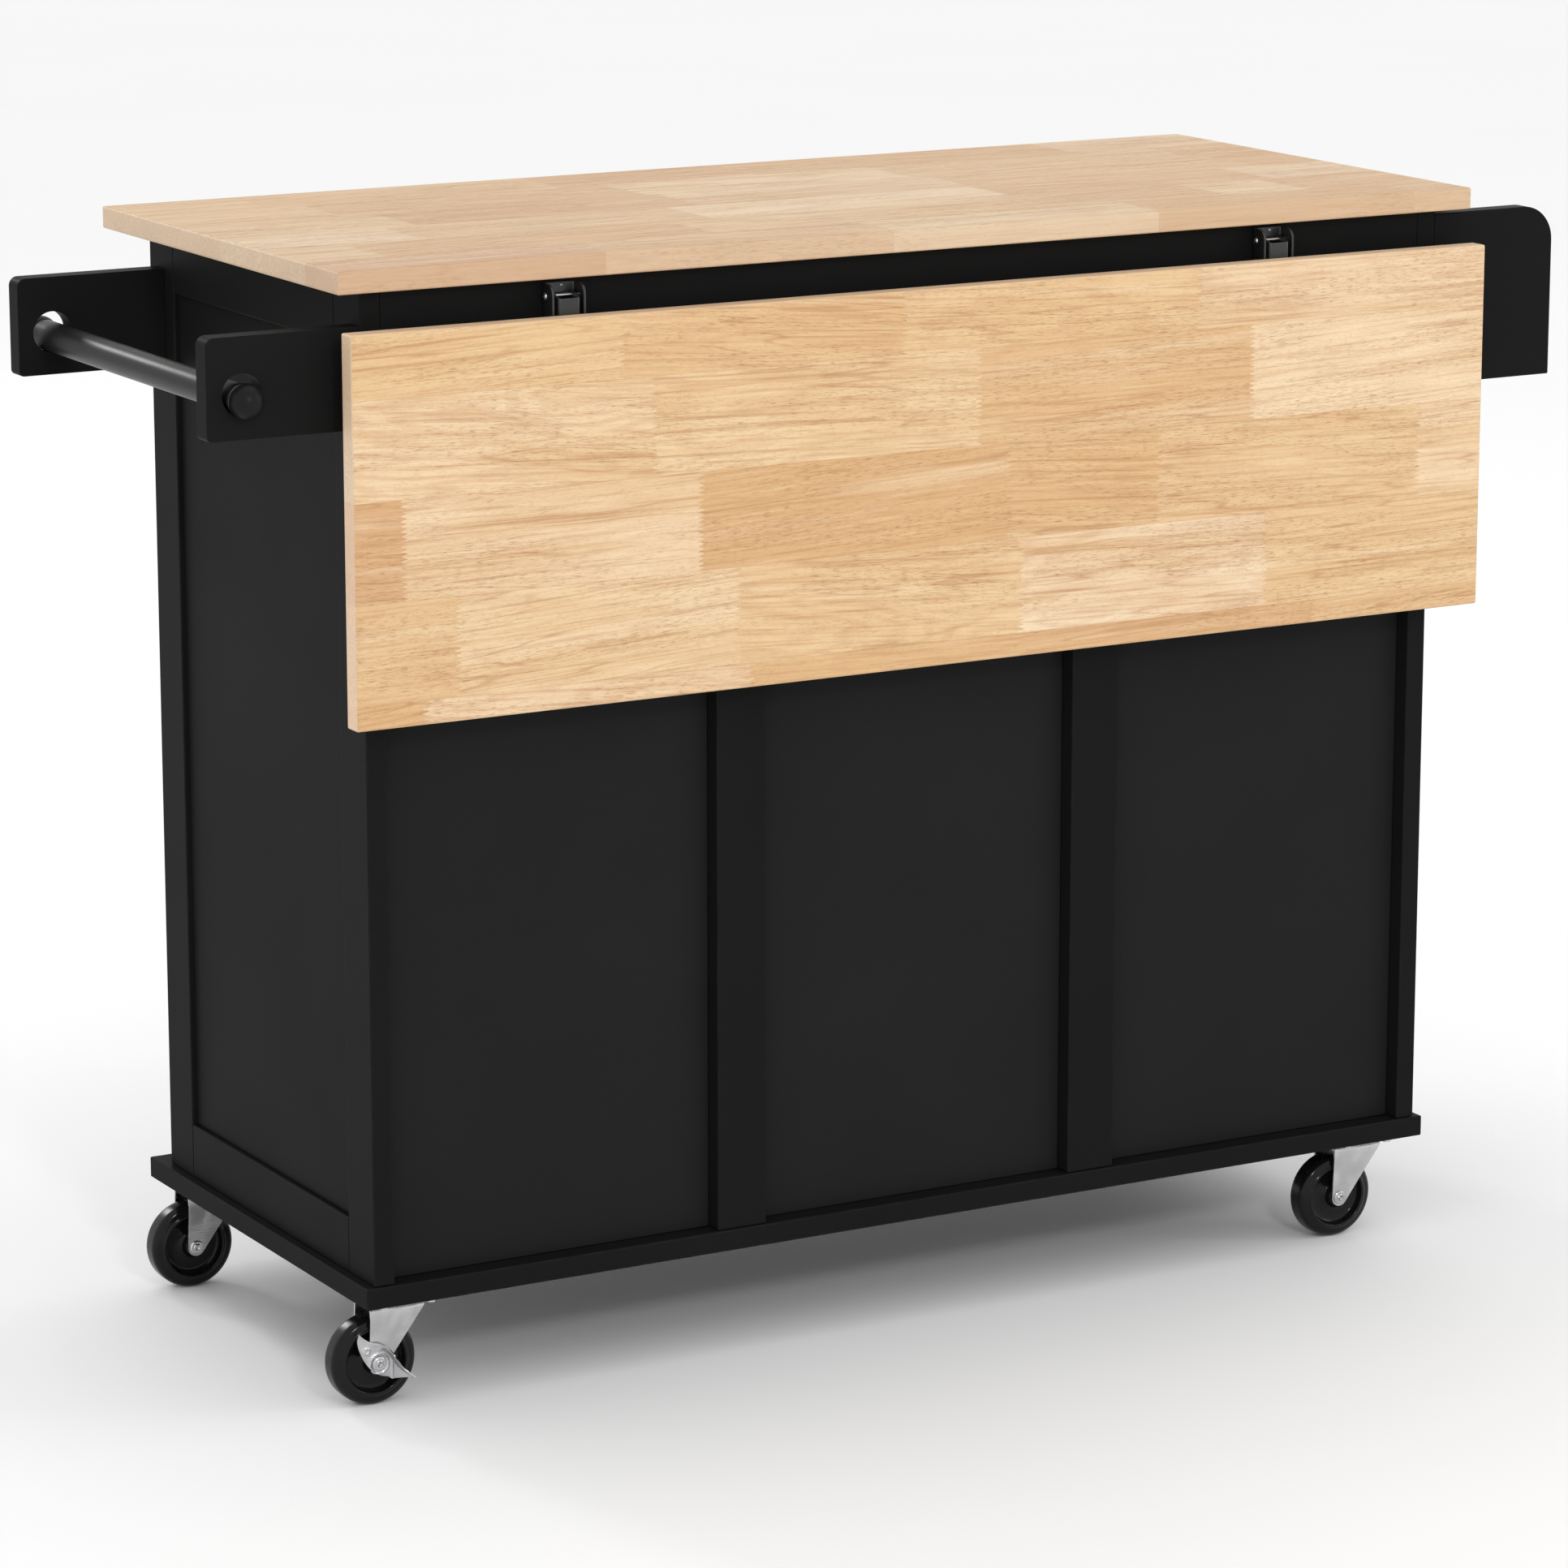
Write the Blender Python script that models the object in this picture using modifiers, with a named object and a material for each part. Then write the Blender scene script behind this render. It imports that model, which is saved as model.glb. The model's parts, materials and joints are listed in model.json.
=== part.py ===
"""Kitchen island cart: panelled cabinet on casters with a drop leaf, towel bar and spice rack.

Metres, +Z up, +X along the worktop, +Y towards the doors and drawers. The drop leaf hangs on the
-Y side, the towel bar is at the -X end and the spice rack at the +X end. The floor is z = 0.
"""
import math

import bmesh
import bpy
from mathutils import Vector

# Worktop and overall height
TOTAL_HEIGHT = 0.943
TOP_LENGTH = 1.080
TOP_DEPTH = 0.465
TOP_THICKNESS = 0.0185

# Base board that carries the cabinet and the casters
BASE_LENGTH = 1.044
BASE_DEPTH = 0.440
BASE_THICKNESS = 0.018
BASE_UNDERSIDE = 0.091
BASE_OFFSET_Y = 0.002

# Cabinet case, seen from its own middle
CASE_LENGTH = 1.028
CASE_REAR = -0.2156
CASE_FRONT = 0.194
BOARD = 0.018
SIDE_STILE_WIDTH = 0.048
SIDE_RAIL_HEIGHT = 0.0465
SIDE_PANEL_RECESS = 0.0045
BACK_FRAME_DEPTH = 0.0205
BACK_STILE_WIDTH = 0.046
BACK_STILE_X = 0.1725
BACK_RAIL_HEIGHT = 0.150
BACK_PANEL_RECESS = 0.0155
SHELF_HEIGHTS = (0.365, 0.640)
SHELF_SETBACK = 0.004

# Doors and drawers in the two outer bays
FRONT_OVERLAY_GAP = 0.0005
FRONT_OUTER_X = 0.5035
FRONT_INNER_X = 0.1740
DOOR_BOTTOM = 0.1125
DOOR_TOP = 0.7675
DRAWER_BOTTOM = 0.7705
DRAWER_TOP = 0.9205
FIELD_INSET = 0.046
FIELD_DEPTH = 0.005
FIELD_SLOPE = 0.0025
DRAWER_BOX_LENGTH = 0.344
DRAWER_BOX_BOTTOM = 0.785
DRAWER_BOX_HEIGHT = 0.100
DRAWER_BOX_SIDE_ROOM = 0.0135
DRAWER_BOX_WALL = 0.012
DRAWER_BOX_FLOOR = 0.008
KNOB_LENGTH = 0.0222
KNOB_RADIUS = 0.015
DOOR_KNOB_X = 0.203
DOOR_KNOB_Z = 0.700

# Drop leaf and the pivot that it folds about
LEAF_LENGTH = 1.080
LEAF_DROP = 0.315
LEAF_TOP = 0.896
LEAF_BACK = -0.2365
LEAF_PIVOT_Y = -0.2218
LEAF_PIVOT_Z = 0.9098

# Folding leaf brackets: wall channel, arm channel inside it, brace inside the arm
BRACKET_X = 0.339
BRACKET_SHEET = 0.002
WALL_CHANNEL_WIDTH = 0.030
WALL_CHANNEL_FRONT = -0.2350
WALL_CHANNEL_TOP = 0.920
WALL_CHANNEL_BOTTOM = 0.780
WALL_CHANNEL_CORNER = 0.008
ARM_CHANNEL_WIDTH = 0.020
ARM_CHANNEL_END = 0.630
ARM_EYE_RADIUS = 0.0036
ARM_WEB_DROP = 0.0010
BRACE_DROP = 0.100
BRACE_LENGTH = 0.156
BRACE_THICKNESS = 0.003
BRACKET_PIN_RADIUS = 0.0018

# Towel bar and its two arms
ARM_REACH = 0.132
ARM_THICKNESS = 0.018
ARM_TOP = 0.8964
ARM_BOTTOM = 0.8147
ARM_TOP_CORNER = 0.0065
ARM_BOTTOM_CORNER = 0.003
FRONT_ARM_Y = 0.165
BAR_HOLE_RADIUS = 0.0172
BAR_HOLE_INSET = 0.0305
BAR_HOLE_Z = 0.8503
BAR_RADIUS = 0.0125
BALL_RADIUS = 0.0145
BALL_STAND_OUT = 0.008
BAR_NECK_RADIUS = 0.0108

# Spice rack
RACK_REACH = 0.126
RACK_TOP = 0.920
RACK_BOTTOM = 0.771
RACK_CORNER = 0.030
RACK_SHELF_THICKNESS = 0.012
RACK_SHELF_DEPTH = 0.114
RACK_SHELF_LIFT = 0.005
RACK_RAIL_HEIGHT = 0.050

# Casters
CASTER_X = 0.4764
CASTER_Y = 0.1825
CASTER_TRAIL = 0.0266
WHEEL_RADIUS = 0.0378
WHEEL_WIDTH = 0.025
WHEEL_TREAD_FLAT = 0.010
WHEEL_FACE_RADIUS = 0.0325
WHEEL_RECESS_RADIUS = 0.0270
WHEEL_RECESS_DEPTH = 0.0065
WHEEL_HUB_RADIUS = 0.0085
WHEEL_HUB_HALF = 0.0130
AXLE_RADIUS = 0.0042
AXLE_HEAD_RADIUS = 0.0062
AXLE_HEAD = 0.0022
FORK_SHEET = 0.0020
FORK_INNER_HALF = 0.0138
FORK_BEND = 0.0035
FORK_CROWN_TOP = 0.0817
FORK_BACK = 0.032
FORK_NOSE = 0.0145
FORK_TOE_RADIUS = 0.0075
RACE_RADIUS = 0.017
CASTER_PLATE_LENGTH = 0.060
CASTER_PLATE_WIDTH = 0.052
CASTER_PLATE_THICKNESS = 0.0024
LEVER_SHEET = 0.0018
PEDAL_DEPTH = 0.0065

# General
GAP = 0.0003
EDGE = 0.0008
WOOD_EDGE = 0.0015
WHEEL_STEPS = 32
BAR_STEPS = 24
KNOB_STEPS = 20

# The cabinet's middle stands this far from the middle of the whole cart's box
SHIFT_X = (ARM_REACH - RACK_REACH) / 2
FRONT_REACH = CASE_FRONT + FRONT_OVERLAY_GAP + BOARD + GAP + KNOB_LENGTH
SHIFT_Y = -(FRONT_REACH + LEAF_BACK - TOP_THICKNESS) / 2

# Levels and planes that several pieces share
HALF_CASE = CASE_LENGTH / 2
BASE_TOP = BASE_UNDERSIDE + BASE_THICKNESS
CASE_BOTTOM = BASE_TOP + GAP
CASE_TOP = TOTAL_HEIGHT - TOP_THICKNESS - GAP
SIDE_INNER_X = HALF_CASE - BOARD
BACK_FRAME_INNER = CASE_REAR + BACK_FRAME_DEPTH
FRONT_BACK = CASE_FRONT + FRONT_OVERLAY_GAP
FRONT_FACE = FRONT_BACK + BOARD


def clear_scene():
    for old in list(bpy.data.objects):
        bpy.data.objects.remove(old, do_unlink=True)


clear_scene()
PARTS = bpy.data.collections.new("kitchen_island_cart")
CUTTERS = bpy.data.collections.new("cutters")
bpy.context.scene.collection.children.link(PARTS)
bpy.context.scene.collection.children.link(CUTTERS)


def make_material(name, colour, roughness, metallic=0.0):
    material = bpy.data.materials.new(name)
    material.use_nodes = True
    shader = material.node_tree.nodes["Principled BSDF"]
    shader.inputs["Base Color"].default_value = (*colour, 1.0)
    shader.inputs["Roughness"].default_value = roughness
    shader.inputs["Metallic"].default_value = metallic
    material.diffuse_color = (*colour, 1.0)
    return material


RUBBERWOOD = make_material("rubberwood", (0.62, 0.40, 0.22), 0.45)
BLACK_PAINT = make_material("black_paint", (0.018, 0.018, 0.018), 0.45)
BLACK_STEEL = make_material("black_steel", (0.02, 0.02, 0.02), 0.35, 0.6)
ZINC = make_material("zinc", (0.62, 0.62, 0.63), 0.30, 1.0)
WHEEL_BLACK = make_material("wheel_black", (0.012, 0.012, 0.012), 0.22)
DRAWER_WOOD = make_material("drawer_wood", (0.68, 0.52, 0.34), 0.60)
NICKEL = make_material("nickel", (0.60, 0.58, 0.55), 0.28, 1.0)


# ---------------------------------------------------------------- placing
PLACES = {}


def pivot(name, position, parent=None):
    """An empty on a joint's axis, at a position given from the cabinet's middle."""
    empty = bpy.data.objects.new(name, None)
    PARTS.objects.link(empty)
    PLACES[name] = Vector(position)
    empty.parent = parent
    empty.location = PLACES[name] - (PLACES[parent.name] if parent else Vector())
    return empty


CART = pivot("cart", (0, 0, 0))
CART.location = (SHIFT_X, SHIFT_Y, 0)


def place(item, position, parent=None, rotation=(0, 0, 0)):
    parent = parent or CART
    item.parent = parent
    item.location = Vector(position) - PLACES[parent.name]
    item.rotation_euler = rotation
    return item


def make_part(name, mesh, material, position=(0, 0, 0), parent=None, rotation=(0, 0, 0)):
    part = bpy.data.objects.new(name, mesh)
    PARTS.objects.link(part)
    if not mesh.materials:
        mesh.materials.append(material)
    return place(part, position, parent, rotation)


def make_cutter(name, mesh, position=(0, 0, 0), rotation=(0, 0, 0), parent=None):
    cutter = bpy.data.objects.new(name, mesh)
    CUTTERS.objects.link(cutter)
    cutter.hide_render = True
    cutter.display_type = "WIRE"
    return place(cutter, position, parent, rotation)


# ---------------------------------------------------------------- shapes
def finish_mesh(name, bm):
    mesh = bpy.data.meshes.new(name)
    bm.to_mesh(mesh)
    bm.free()
    return mesh


def box_bmesh(size):
    bm = bmesh.new()
    bmesh.ops.create_cube(bm, size=1.0)
    bmesh.ops.scale(bm, vec=size, verts=bm.verts)
    return bm


def rod_mesh(name, radius, length, steps=20):
    """A cylinder along Z about its own middle."""
    bm = bmesh.new()
    bmesh.ops.create_cone(bm, cap_ends=True, segments=steps, radius1=radius, radius2=radius, depth=length)
    return finish_mesh(name, bm)


def middle_and_size(low, high):
    low = Vector(low)
    high = Vector(high)
    return (low + high) / 2, high - low


def add_bevel(part, width, segments):
    bevel = part.modifiers.new("edges", "BEVEL")
    bevel.width = width
    bevel.segments = segments
    bevel.limit_method = "ANGLE"
    bevel.angle_limit = math.radians(50)
    return bevel


def add_boolean(part, cutter, operation):
    modifier = part.modifiers.new(operation.lower(), "BOOLEAN")
    modifier.operation = operation
    modifier.solver = "EXACT"
    modifier.object = cutter
    return modifier


def board(name, low, high, material=BLACK_PAINT, edge=EDGE, segments=1, parent=None):
    """A plain sawn board between two corners, with its edges eased."""
    middle, size = middle_and_size(low, high)
    part = make_part(name, finish_mesh(name, box_bmesh(size)), material, middle, parent)
    add_bevel(part, edge, segments)
    return part


def cornered_board(name, low, high, corners, material=BLACK_PAINT, edge=EDGE):
    """A board whose edges along Y can be rounded: corners maps (x sign, z sign) to a radius."""
    middle, size = middle_and_size(low, high)
    bm = box_bmesh(size)
    for (sign_x, sign_z), radius in corners.items():
        chosen = [e for e in bm.edges if all(v.co.x * sign_x > 0 and v.co.z * sign_z > 0 for v in e.verts)
                  and abs(e.verts[0].co.y - e.verts[1].co.y) > size.y / 2]
        bmesh.ops.bevel(bm, geom=chosen, offset=radius, segments=7, profile=0.5, affect="EDGES")
    part = make_part(name, finish_mesh(name, bm), material, middle)
    add_bevel(part, edge, 1)
    return part


def framed_front(name, low, high, parent):
    """A door or drawer front with a sunk field on its +Y face."""
    middle, size = middle_and_size(low, high)
    bm = box_bmesh(size)
    face = max(bm.faces, key=lambda f: f.calc_center_median().y)
    bmesh.ops.inset_region(bm, faces=[face], thickness=FIELD_INSET)
    bmesh.ops.inset_region(bm, faces=[face], thickness=FIELD_SLOPE, depth=-FIELD_DEPTH)
    part = make_part(name, finish_mesh(name, bm), BLACK_PAINT, middle, parent)
    add_bevel(part, EDGE, 1)
    return part


def open_box(name, low, high, wall, floor, material, parent):
    """A drawer box, open at its top."""
    middle, size = middle_and_size(low, high)
    bm = box_bmesh(size)
    face = max(bm.faces, key=lambda f: f.calc_center_median().z)
    bmesh.ops.inset_region(bm, faces=[face], thickness=wall)
    inner = bmesh.ops.extrude_discrete_faces(bm, faces=[face])["faces"][0]
    bmesh.ops.translate(bm, vec=(0, 0, floor - size.z), verts=inner.verts)
    return make_part(name, finish_mesh(name, bm), material, middle, parent)


def arc(centre, radius, start_deg, end_deg, steps):
    """Points on an arc, both ends included."""
    points = []
    for i in range(steps + 1):
        angle = math.radians(start_deg + (end_deg - start_deg) * i / steps)
        points.append((centre[0] + radius * math.cos(angle), centre[1] + radius * math.sin(angle)))
    return points


def outline_mesh(name, loops, thickness):
    """A flat outline in XY, with any holes as further loops, extruded evenly about z = 0."""
    curve = bpy.data.curves.new(name, "CURVE")
    curve.dimensions = "2D"
    curve.fill_mode = "BOTH"
    curve.extrude = thickness / 2
    for loop in loops:
        spline = curve.splines.new("POLY")
        spline.points.add(len(loop) - 1)
        for point, (x, y) in zip(spline.points, loop):
            point.co = (x, y, 0, 1)
        spline.use_cyclic_u = True
    return mesh_of_curve(name, curve)


def mesh_of_curve(name, curve):
    """The closed mesh of a filled curve, its caps welded to its sides."""
    holder = bpy.data.objects.new(name, curve)
    CUTTERS.objects.link(holder)
    mesh = evaluated_mesh(holder)
    bpy.data.objects.remove(holder, do_unlink=True)
    bm = bmesh.new()
    bm.from_mesh(mesh)
    bmesh.ops.remove_doubles(bm, verts=bm.verts, dist=0.00001)
    bmesh.ops.recalc_face_normals(bm, faces=bm.faces)
    bm.to_mesh(mesh)
    bm.free()
    return mesh


def evaluated_mesh(holder):
    graph = bpy.context.evaluated_depsgraph_get()
    graph.update()
    return bpy.data.meshes.new_from_object(holder.evaluated_get(graph), depsgraph=graph)


def combined_mesh(name, start, steps):
    """Joins meshes in the order given: each step is (operation, mesh, position, rotation)."""
    holder = bpy.data.objects.new(name, start[0])
    CUTTERS.objects.link(holder)
    holder.location = start[1]
    holder.rotation_euler = start[2]
    helpers = []
    for index, (operation, mesh, position, rotation) in enumerate(steps):
        helper = bpy.data.objects.new(f"{name}_{index}", mesh)
        CUTTERS.objects.link(helper)
        helper.location = position
        helper.rotation_euler = rotation
        add_boolean(holder, helper, operation)
        helpers.append(helper)
    bpy.context.view_layer.update()
    mesh = evaluated_mesh(holder)
    mesh.transform(holder.matrix_world)
    for extra in helpers + [holder]:
        bpy.data.objects.remove(extra, do_unlink=True)
    mesh.materials.clear()
    mesh.shade_smooth()
    mesh.set_sharp_from_angle(angle=math.radians(35))
    mesh.name = name
    return mesh


# Rotations that stand a flat XY outline up, and that turn a Z axis over
IN_XZ = (math.pi / 2, 0, 0)
IN_YZ = (math.pi / 2, 0, math.pi / 2)
Z_TO_Y = (-math.pi / 2, 0, 0)
Z_TO_X = (0, math.pi / 2, 0)


def turned_mesh(name, profile, closed):
    """The half outline of a turned piece, as (radius, height) pairs from its top down its outside."""
    bm = bmesh.new()
    corners = [bm.verts.new((radius, 0, height)) for radius, height in profile]
    for first, second in zip(corners, corners[1:]):
        bm.edges.new((first, second))
    if closed:
        bm.edges.new((corners[-1], corners[0]))
    return finish_mesh(name, bm)


def add_screw(part, steps):
    screw = part.modifiers.new("turn", "SCREW")
    screw.axis = "Z"
    screw.angle = 2 * math.pi
    screw.steps = steps
    screw.render_steps = steps
    screw.use_merge_vertices = True
    screw.merge_threshold = 0.00005
    screw.use_smooth_shade = True
    return screw


def turned(name, profile, material, position, parent, rotation, steps, closed=False):
    part = make_part(name, turned_mesh(name, profile, closed), material, position, parent, rotation)
    add_screw(part, steps)
    return part


def channel_outline(width, depth, sheet, bend):
    """A U with its web along the top (y = 0) and its cheeks down to y = -depth."""
    half = width / 2
    inner = bend - sheet
    outer_right = arc((half - bend, -bend), bend, 90, 0, 4)
    outer_left = arc((bend - half, -bend), bend, 180, 90, 4)
    inner_left = arc((bend - half, -bend), inner, 90, 180, 3)
    inner_right = arc((half - bend, -bend), inner, 0, 90, 3)
    right_foot = [(half, -depth), (half - sheet, -depth)]
    left_foot = [(sheet - half, -depth), (-half, -depth)]
    return outer_right + right_foot + inner_right + inner_left + left_foot + outer_left


# ---------------------------------------------------------------- worktop and base
def build_boards():
    half_top = TOP_LENGTH / 2
    board("top_board", (-half_top, -TOP_DEPTH / 2, TOTAL_HEIGHT - TOP_THICKNESS),
          (half_top, TOP_DEPTH / 2, TOTAL_HEIGHT), RUBBERWOOD, WOOD_EDGE, 2)
    half_base = BASE_LENGTH / 2
    board("base_board", (-half_base, BASE_OFFSET_Y - BASE_DEPTH / 2, BASE_UNDERSIDE),
          (half_base, BASE_OFFSET_Y + BASE_DEPTH / 2, BASE_TOP))


# ---------------------------------------------------------------- cabinet
def build_side(side, sign):
    """One frame-and-panel end: two stiles, two rails and a sunk panel."""
    outer = sign * HALF_CASE
    inner = sign * SIDE_INNER_X
    low_x, high_x = min(outer, inner), max(outer, inner)
    rear_edge = CASE_REAR + SIDE_STILE_WIDTH
    front_edge = CASE_FRONT - SIDE_STILE_WIDTH
    board(f"{side}_rear_stile", (low_x, CASE_REAR, CASE_BOTTOM), (high_x, rear_edge, CASE_TOP))
    board(f"{side}_front_stile", (low_x, front_edge, CASE_BOTTOM), (high_x, CASE_FRONT, CASE_TOP))
    between = (rear_edge + GAP, front_edge - GAP)
    rail_bottom = CASE_TOP - SIDE_RAIL_HEIGHT
    rail_top = CASE_BOTTOM + SIDE_RAIL_HEIGHT
    board(f"{side}_top_rail", (low_x, between[0], rail_bottom), (high_x, between[1], CASE_TOP))
    board(f"{side}_bottom_rail", (low_x, between[0], CASE_BOTTOM), (high_x, between[1], rail_top))
    sunk = outer - sign * SIDE_PANEL_RECESS
    board(f"{side}_panel", (min(sunk, inner), between[0], rail_top + GAP),
          (max(sunk, inner), between[1], rail_bottom - GAP))


def build_back():
    """A deep top rail, two stiles and three sunk panels."""
    inside = SIDE_INNER_X - GAP
    rail_bottom = CASE_TOP - BACK_RAIL_HEIGHT
    stile_top = rail_bottom - GAP
    board("back_top_rail", (-inside, CASE_REAR, rail_bottom), (inside, BACK_FRAME_INNER, CASE_TOP))
    half = BACK_STILE_WIDTH / 2
    for side, sign in (("left", -1), ("right", 1)):
        middle = sign * BACK_STILE_X
        board(f"back_{side}_stile", (middle - half, CASE_REAR, CASE_BOTTOM),
              (middle + half, BACK_FRAME_INNER, stile_top))
    panel_face = CASE_REAR + BACK_PANEL_RECESS
    inner_bay = BACK_STILE_X - half - GAP
    outer_bay = BACK_STILE_X + half + GAP
    bays = {"left": (-inside, -outer_bay), "middle": (-inner_bay, inner_bay), "right": (outer_bay, inside)}
    for bay, (low_x, high_x) in bays.items():
        board(f"back_{bay}_panel", (low_x, panel_face, CASE_BOTTOM), (high_x, BACK_FRAME_INNER, stile_top))


def build_inside():
    """Two partitions, and the shelves of the open middle bay."""
    rear = BACK_FRAME_INNER + GAP
    for side, sign in (("left", -1), ("right", 1)):
        middle = sign * BACK_STILE_X
        board(f"{side}_partition", (middle - BOARD / 2, rear, CASE_BOTTOM),
              (middle + BOARD / 2, CASE_FRONT, CASE_TOP))
    half = BACK_STILE_X - BOARD / 2 - GAP
    for name, height in zip(("lower_shelf", "upper_shelf"), SHELF_HEIGHTS):
        board(name, (-half, rear, height - BOARD), (half, CASE_FRONT - SHELF_SETBACK, height))


# ---------------------------------------------------------------- doors and drawers
def knob_profile():
    foot = 0.0075
    neck = 0.0055
    top = KNOB_LENGTH
    return [(0, top), (0.0085, top - 0.0004), (0.0125, top - 0.0016), (KNOB_RADIUS, top - 0.0045),
            (0.0145, top - 0.0070), (0.0095, top - 0.0095), (neck, 0.0085), (neck, 0.0035),
            (foot, 0.0010), (foot, 0), (0, 0)]


def build_knob(name, x, z, parent):
    turned(name, knob_profile(), NICKEL, (x, FRONT_FACE + GAP, z), parent, Z_TO_Y, KNOB_STEPS)


def bay_span(sign):
    ends = (sign * FRONT_OUTER_X, sign * FRONT_INNER_X)
    return min(ends), max(ends)


def build_drawer(side, sign):
    low_x, high_x = bay_span(sign)
    centre_x = (low_x + high_x) / 2
    runner = pivot(f"{side}_drawer", (centre_x, FRONT_BACK, DRAWER_BOX_BOTTOM), CART)
    framed_front(f"{side}_drawer_front", (low_x, FRONT_BACK, DRAWER_BOTTOM),
                 (high_x, FRONT_FACE, DRAWER_TOP), runner)
    bay = sorted((sign * (BACK_STILE_X + BOARD / 2), sign * SIDE_INNER_X))
    box_front = FRONT_BACK - GAP
    open_box(f"{side}_drawer_box",
             (bay[0] + DRAWER_BOX_SIDE_ROOM, box_front - DRAWER_BOX_LENGTH, DRAWER_BOX_BOTTOM),
             (bay[1] - DRAWER_BOX_SIDE_ROOM, box_front, DRAWER_BOX_BOTTOM + DRAWER_BOX_HEIGHT),
             DRAWER_BOX_WALL, DRAWER_BOX_FLOOR, DRAWER_WOOD, runner)
    build_knob(f"{side}_drawer_knob", centre_x, (DRAWER_BOTTOM + DRAWER_TOP) / 2, runner)


def build_door(side, sign):
    low_x, high_x = bay_span(sign)
    hinge = pivot(f"{side}_door_hinge", (sign * FRONT_OUTER_X, FRONT_FACE, DOOR_BOTTOM), CART)
    framed_front(f"{side}_door", (low_x, FRONT_BACK, DOOR_BOTTOM), (high_x, FRONT_FACE, DOOR_TOP), hinge)
    build_knob(f"{side}_door_knob", sign * DOOR_KNOB_X, DOOR_KNOB_Z, hinge)


# ---------------------------------------------------------------- drop leaf
def wall_channel_mesh():
    """U channel on the cabinet, with the leaf's pivot pin and a lug and pin for the brace.

    Its own origin is on the leaf's pivot, at the middle of the bracket.
    """
    web = CASE_REAR - GAP - LEAF_PIVOT_Y
    front = WALL_CHANNEL_FRONT - LEAF_PIVOT_Y
    top = WALL_CHANNEL_TOP - LEAF_PIVOT_Z
    bottom = WALL_CHANNEL_BOTTOM - LEAF_PIVOT_Z
    corner = WALL_CHANNEL_CORNER
    height = top - bottom
    channel = outline_mesh("channel", [channel_outline(WALL_CHANNEL_WIDTH, web - front, BRACKET_SHEET, 0.0028)],
                           height + 0.010)
    profile = [(web + 0.002, bottom), (web + 0.002, top)]
    profile += arc((front + corner, top - corner), corner, 90, 180, 5)
    profile += arc((front + corner, bottom + corner), corner, 180, 270, 5)
    side = outline_mesh("side", [profile], WALL_CHANNEL_WIDTH + 0.004)
    pin_length = WALL_CHANNEL_WIDTH + 0.003
    pin = rod_mesh("pin", BRACKET_PIN_RADIUS, pin_length, 12)
    lug_outline = [(web - 0.001, -0.006), (web - 0.001, 0.006)] + arc((0, 0), 0.0034, 100, 260, 5)
    lug = outline_mesh("lug", [lug_outline], 0.003)
    short_pin = rod_mesh("short_pin", BRACKET_PIN_RADIUS, 0.009, 12)
    lug_x = -0.0020
    return combined_mesh("wall_channel", (channel, (0, web, (top + bottom) / 2), (0, 0, 0)), [
        ("INTERSECT", side, (0, 0, 0), IN_YZ),
        ("UNION", pin, (0, 0, 0), Z_TO_X),
        ("UNION", lug, (lug_x, 0, -BRACE_DROP), IN_YZ),
        ("UNION", short_pin, (0.0010, 0, -BRACE_DROP), Z_TO_X)])


def arm_channel_mesh():
    """U channel under the leaf, open towards the cabinet; its origin is on the leaf's pivot.

    Its web stops just below the pivot, so that its corner passes under the worktop as the leaf rises.
    """
    web = LEAF_BACK + GAP - LEAF_PIVOT_Y
    end = ARM_CHANNEL_END - LEAF_PIVOT_Z
    eye = ARM_EYE_RADIUS
    channel = outline_mesh("channel", [channel_outline(ARM_CHANNEL_WIDTH, eye - web, 0.0018, 0.0028)],
                           eye - end + 0.010)
    profile = [(web - 0.002, -ARM_WEB_DROP), (web - 0.002, end)]
    profile += arc((web + 0.006, end + 0.006), 0.006, 270, 360, 4)
    profile += [(eye, end + 0.060)] + arc((0, 0), eye, 0, 90, 5)
    side = outline_mesh("side", [profile], ARM_CHANNEL_WIDTH + 0.004)
    hole = rod_mesh("hole", BRACKET_PIN_RADIUS + GAP, ARM_CHANNEL_WIDTH + 0.010, 12)
    turned_round = (0, 0, math.pi)
    return combined_mesh("arm_channel", (channel, (0, web, (eye + end) / 2), turned_round), [
        ("INTERSECT", side, (0, 0, 0), IN_YZ),
        ("DIFFERENCE", hole, (0, 0, 0), Z_TO_X)])


def brace_mesh():
    """Flat strut with round ends and a hole at its pivot, hanging down from its own origin."""
    radius = ARM_EYE_RADIUS
    outline = arc((0, 0), radius, 0, 180, 8) + arc((0, -BRACE_LENGTH), radius, 180, 360, 8)
    hole = arc((0, 0), BRACKET_PIN_RADIUS + GAP, 0, 330, 11)
    mesh = outline_mesh("brace", [outline, hole], BRACE_THICKNESS)
    mesh.shade_smooth()
    mesh.set_sharp_from_angle(angle=math.radians(35))
    return mesh


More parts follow.
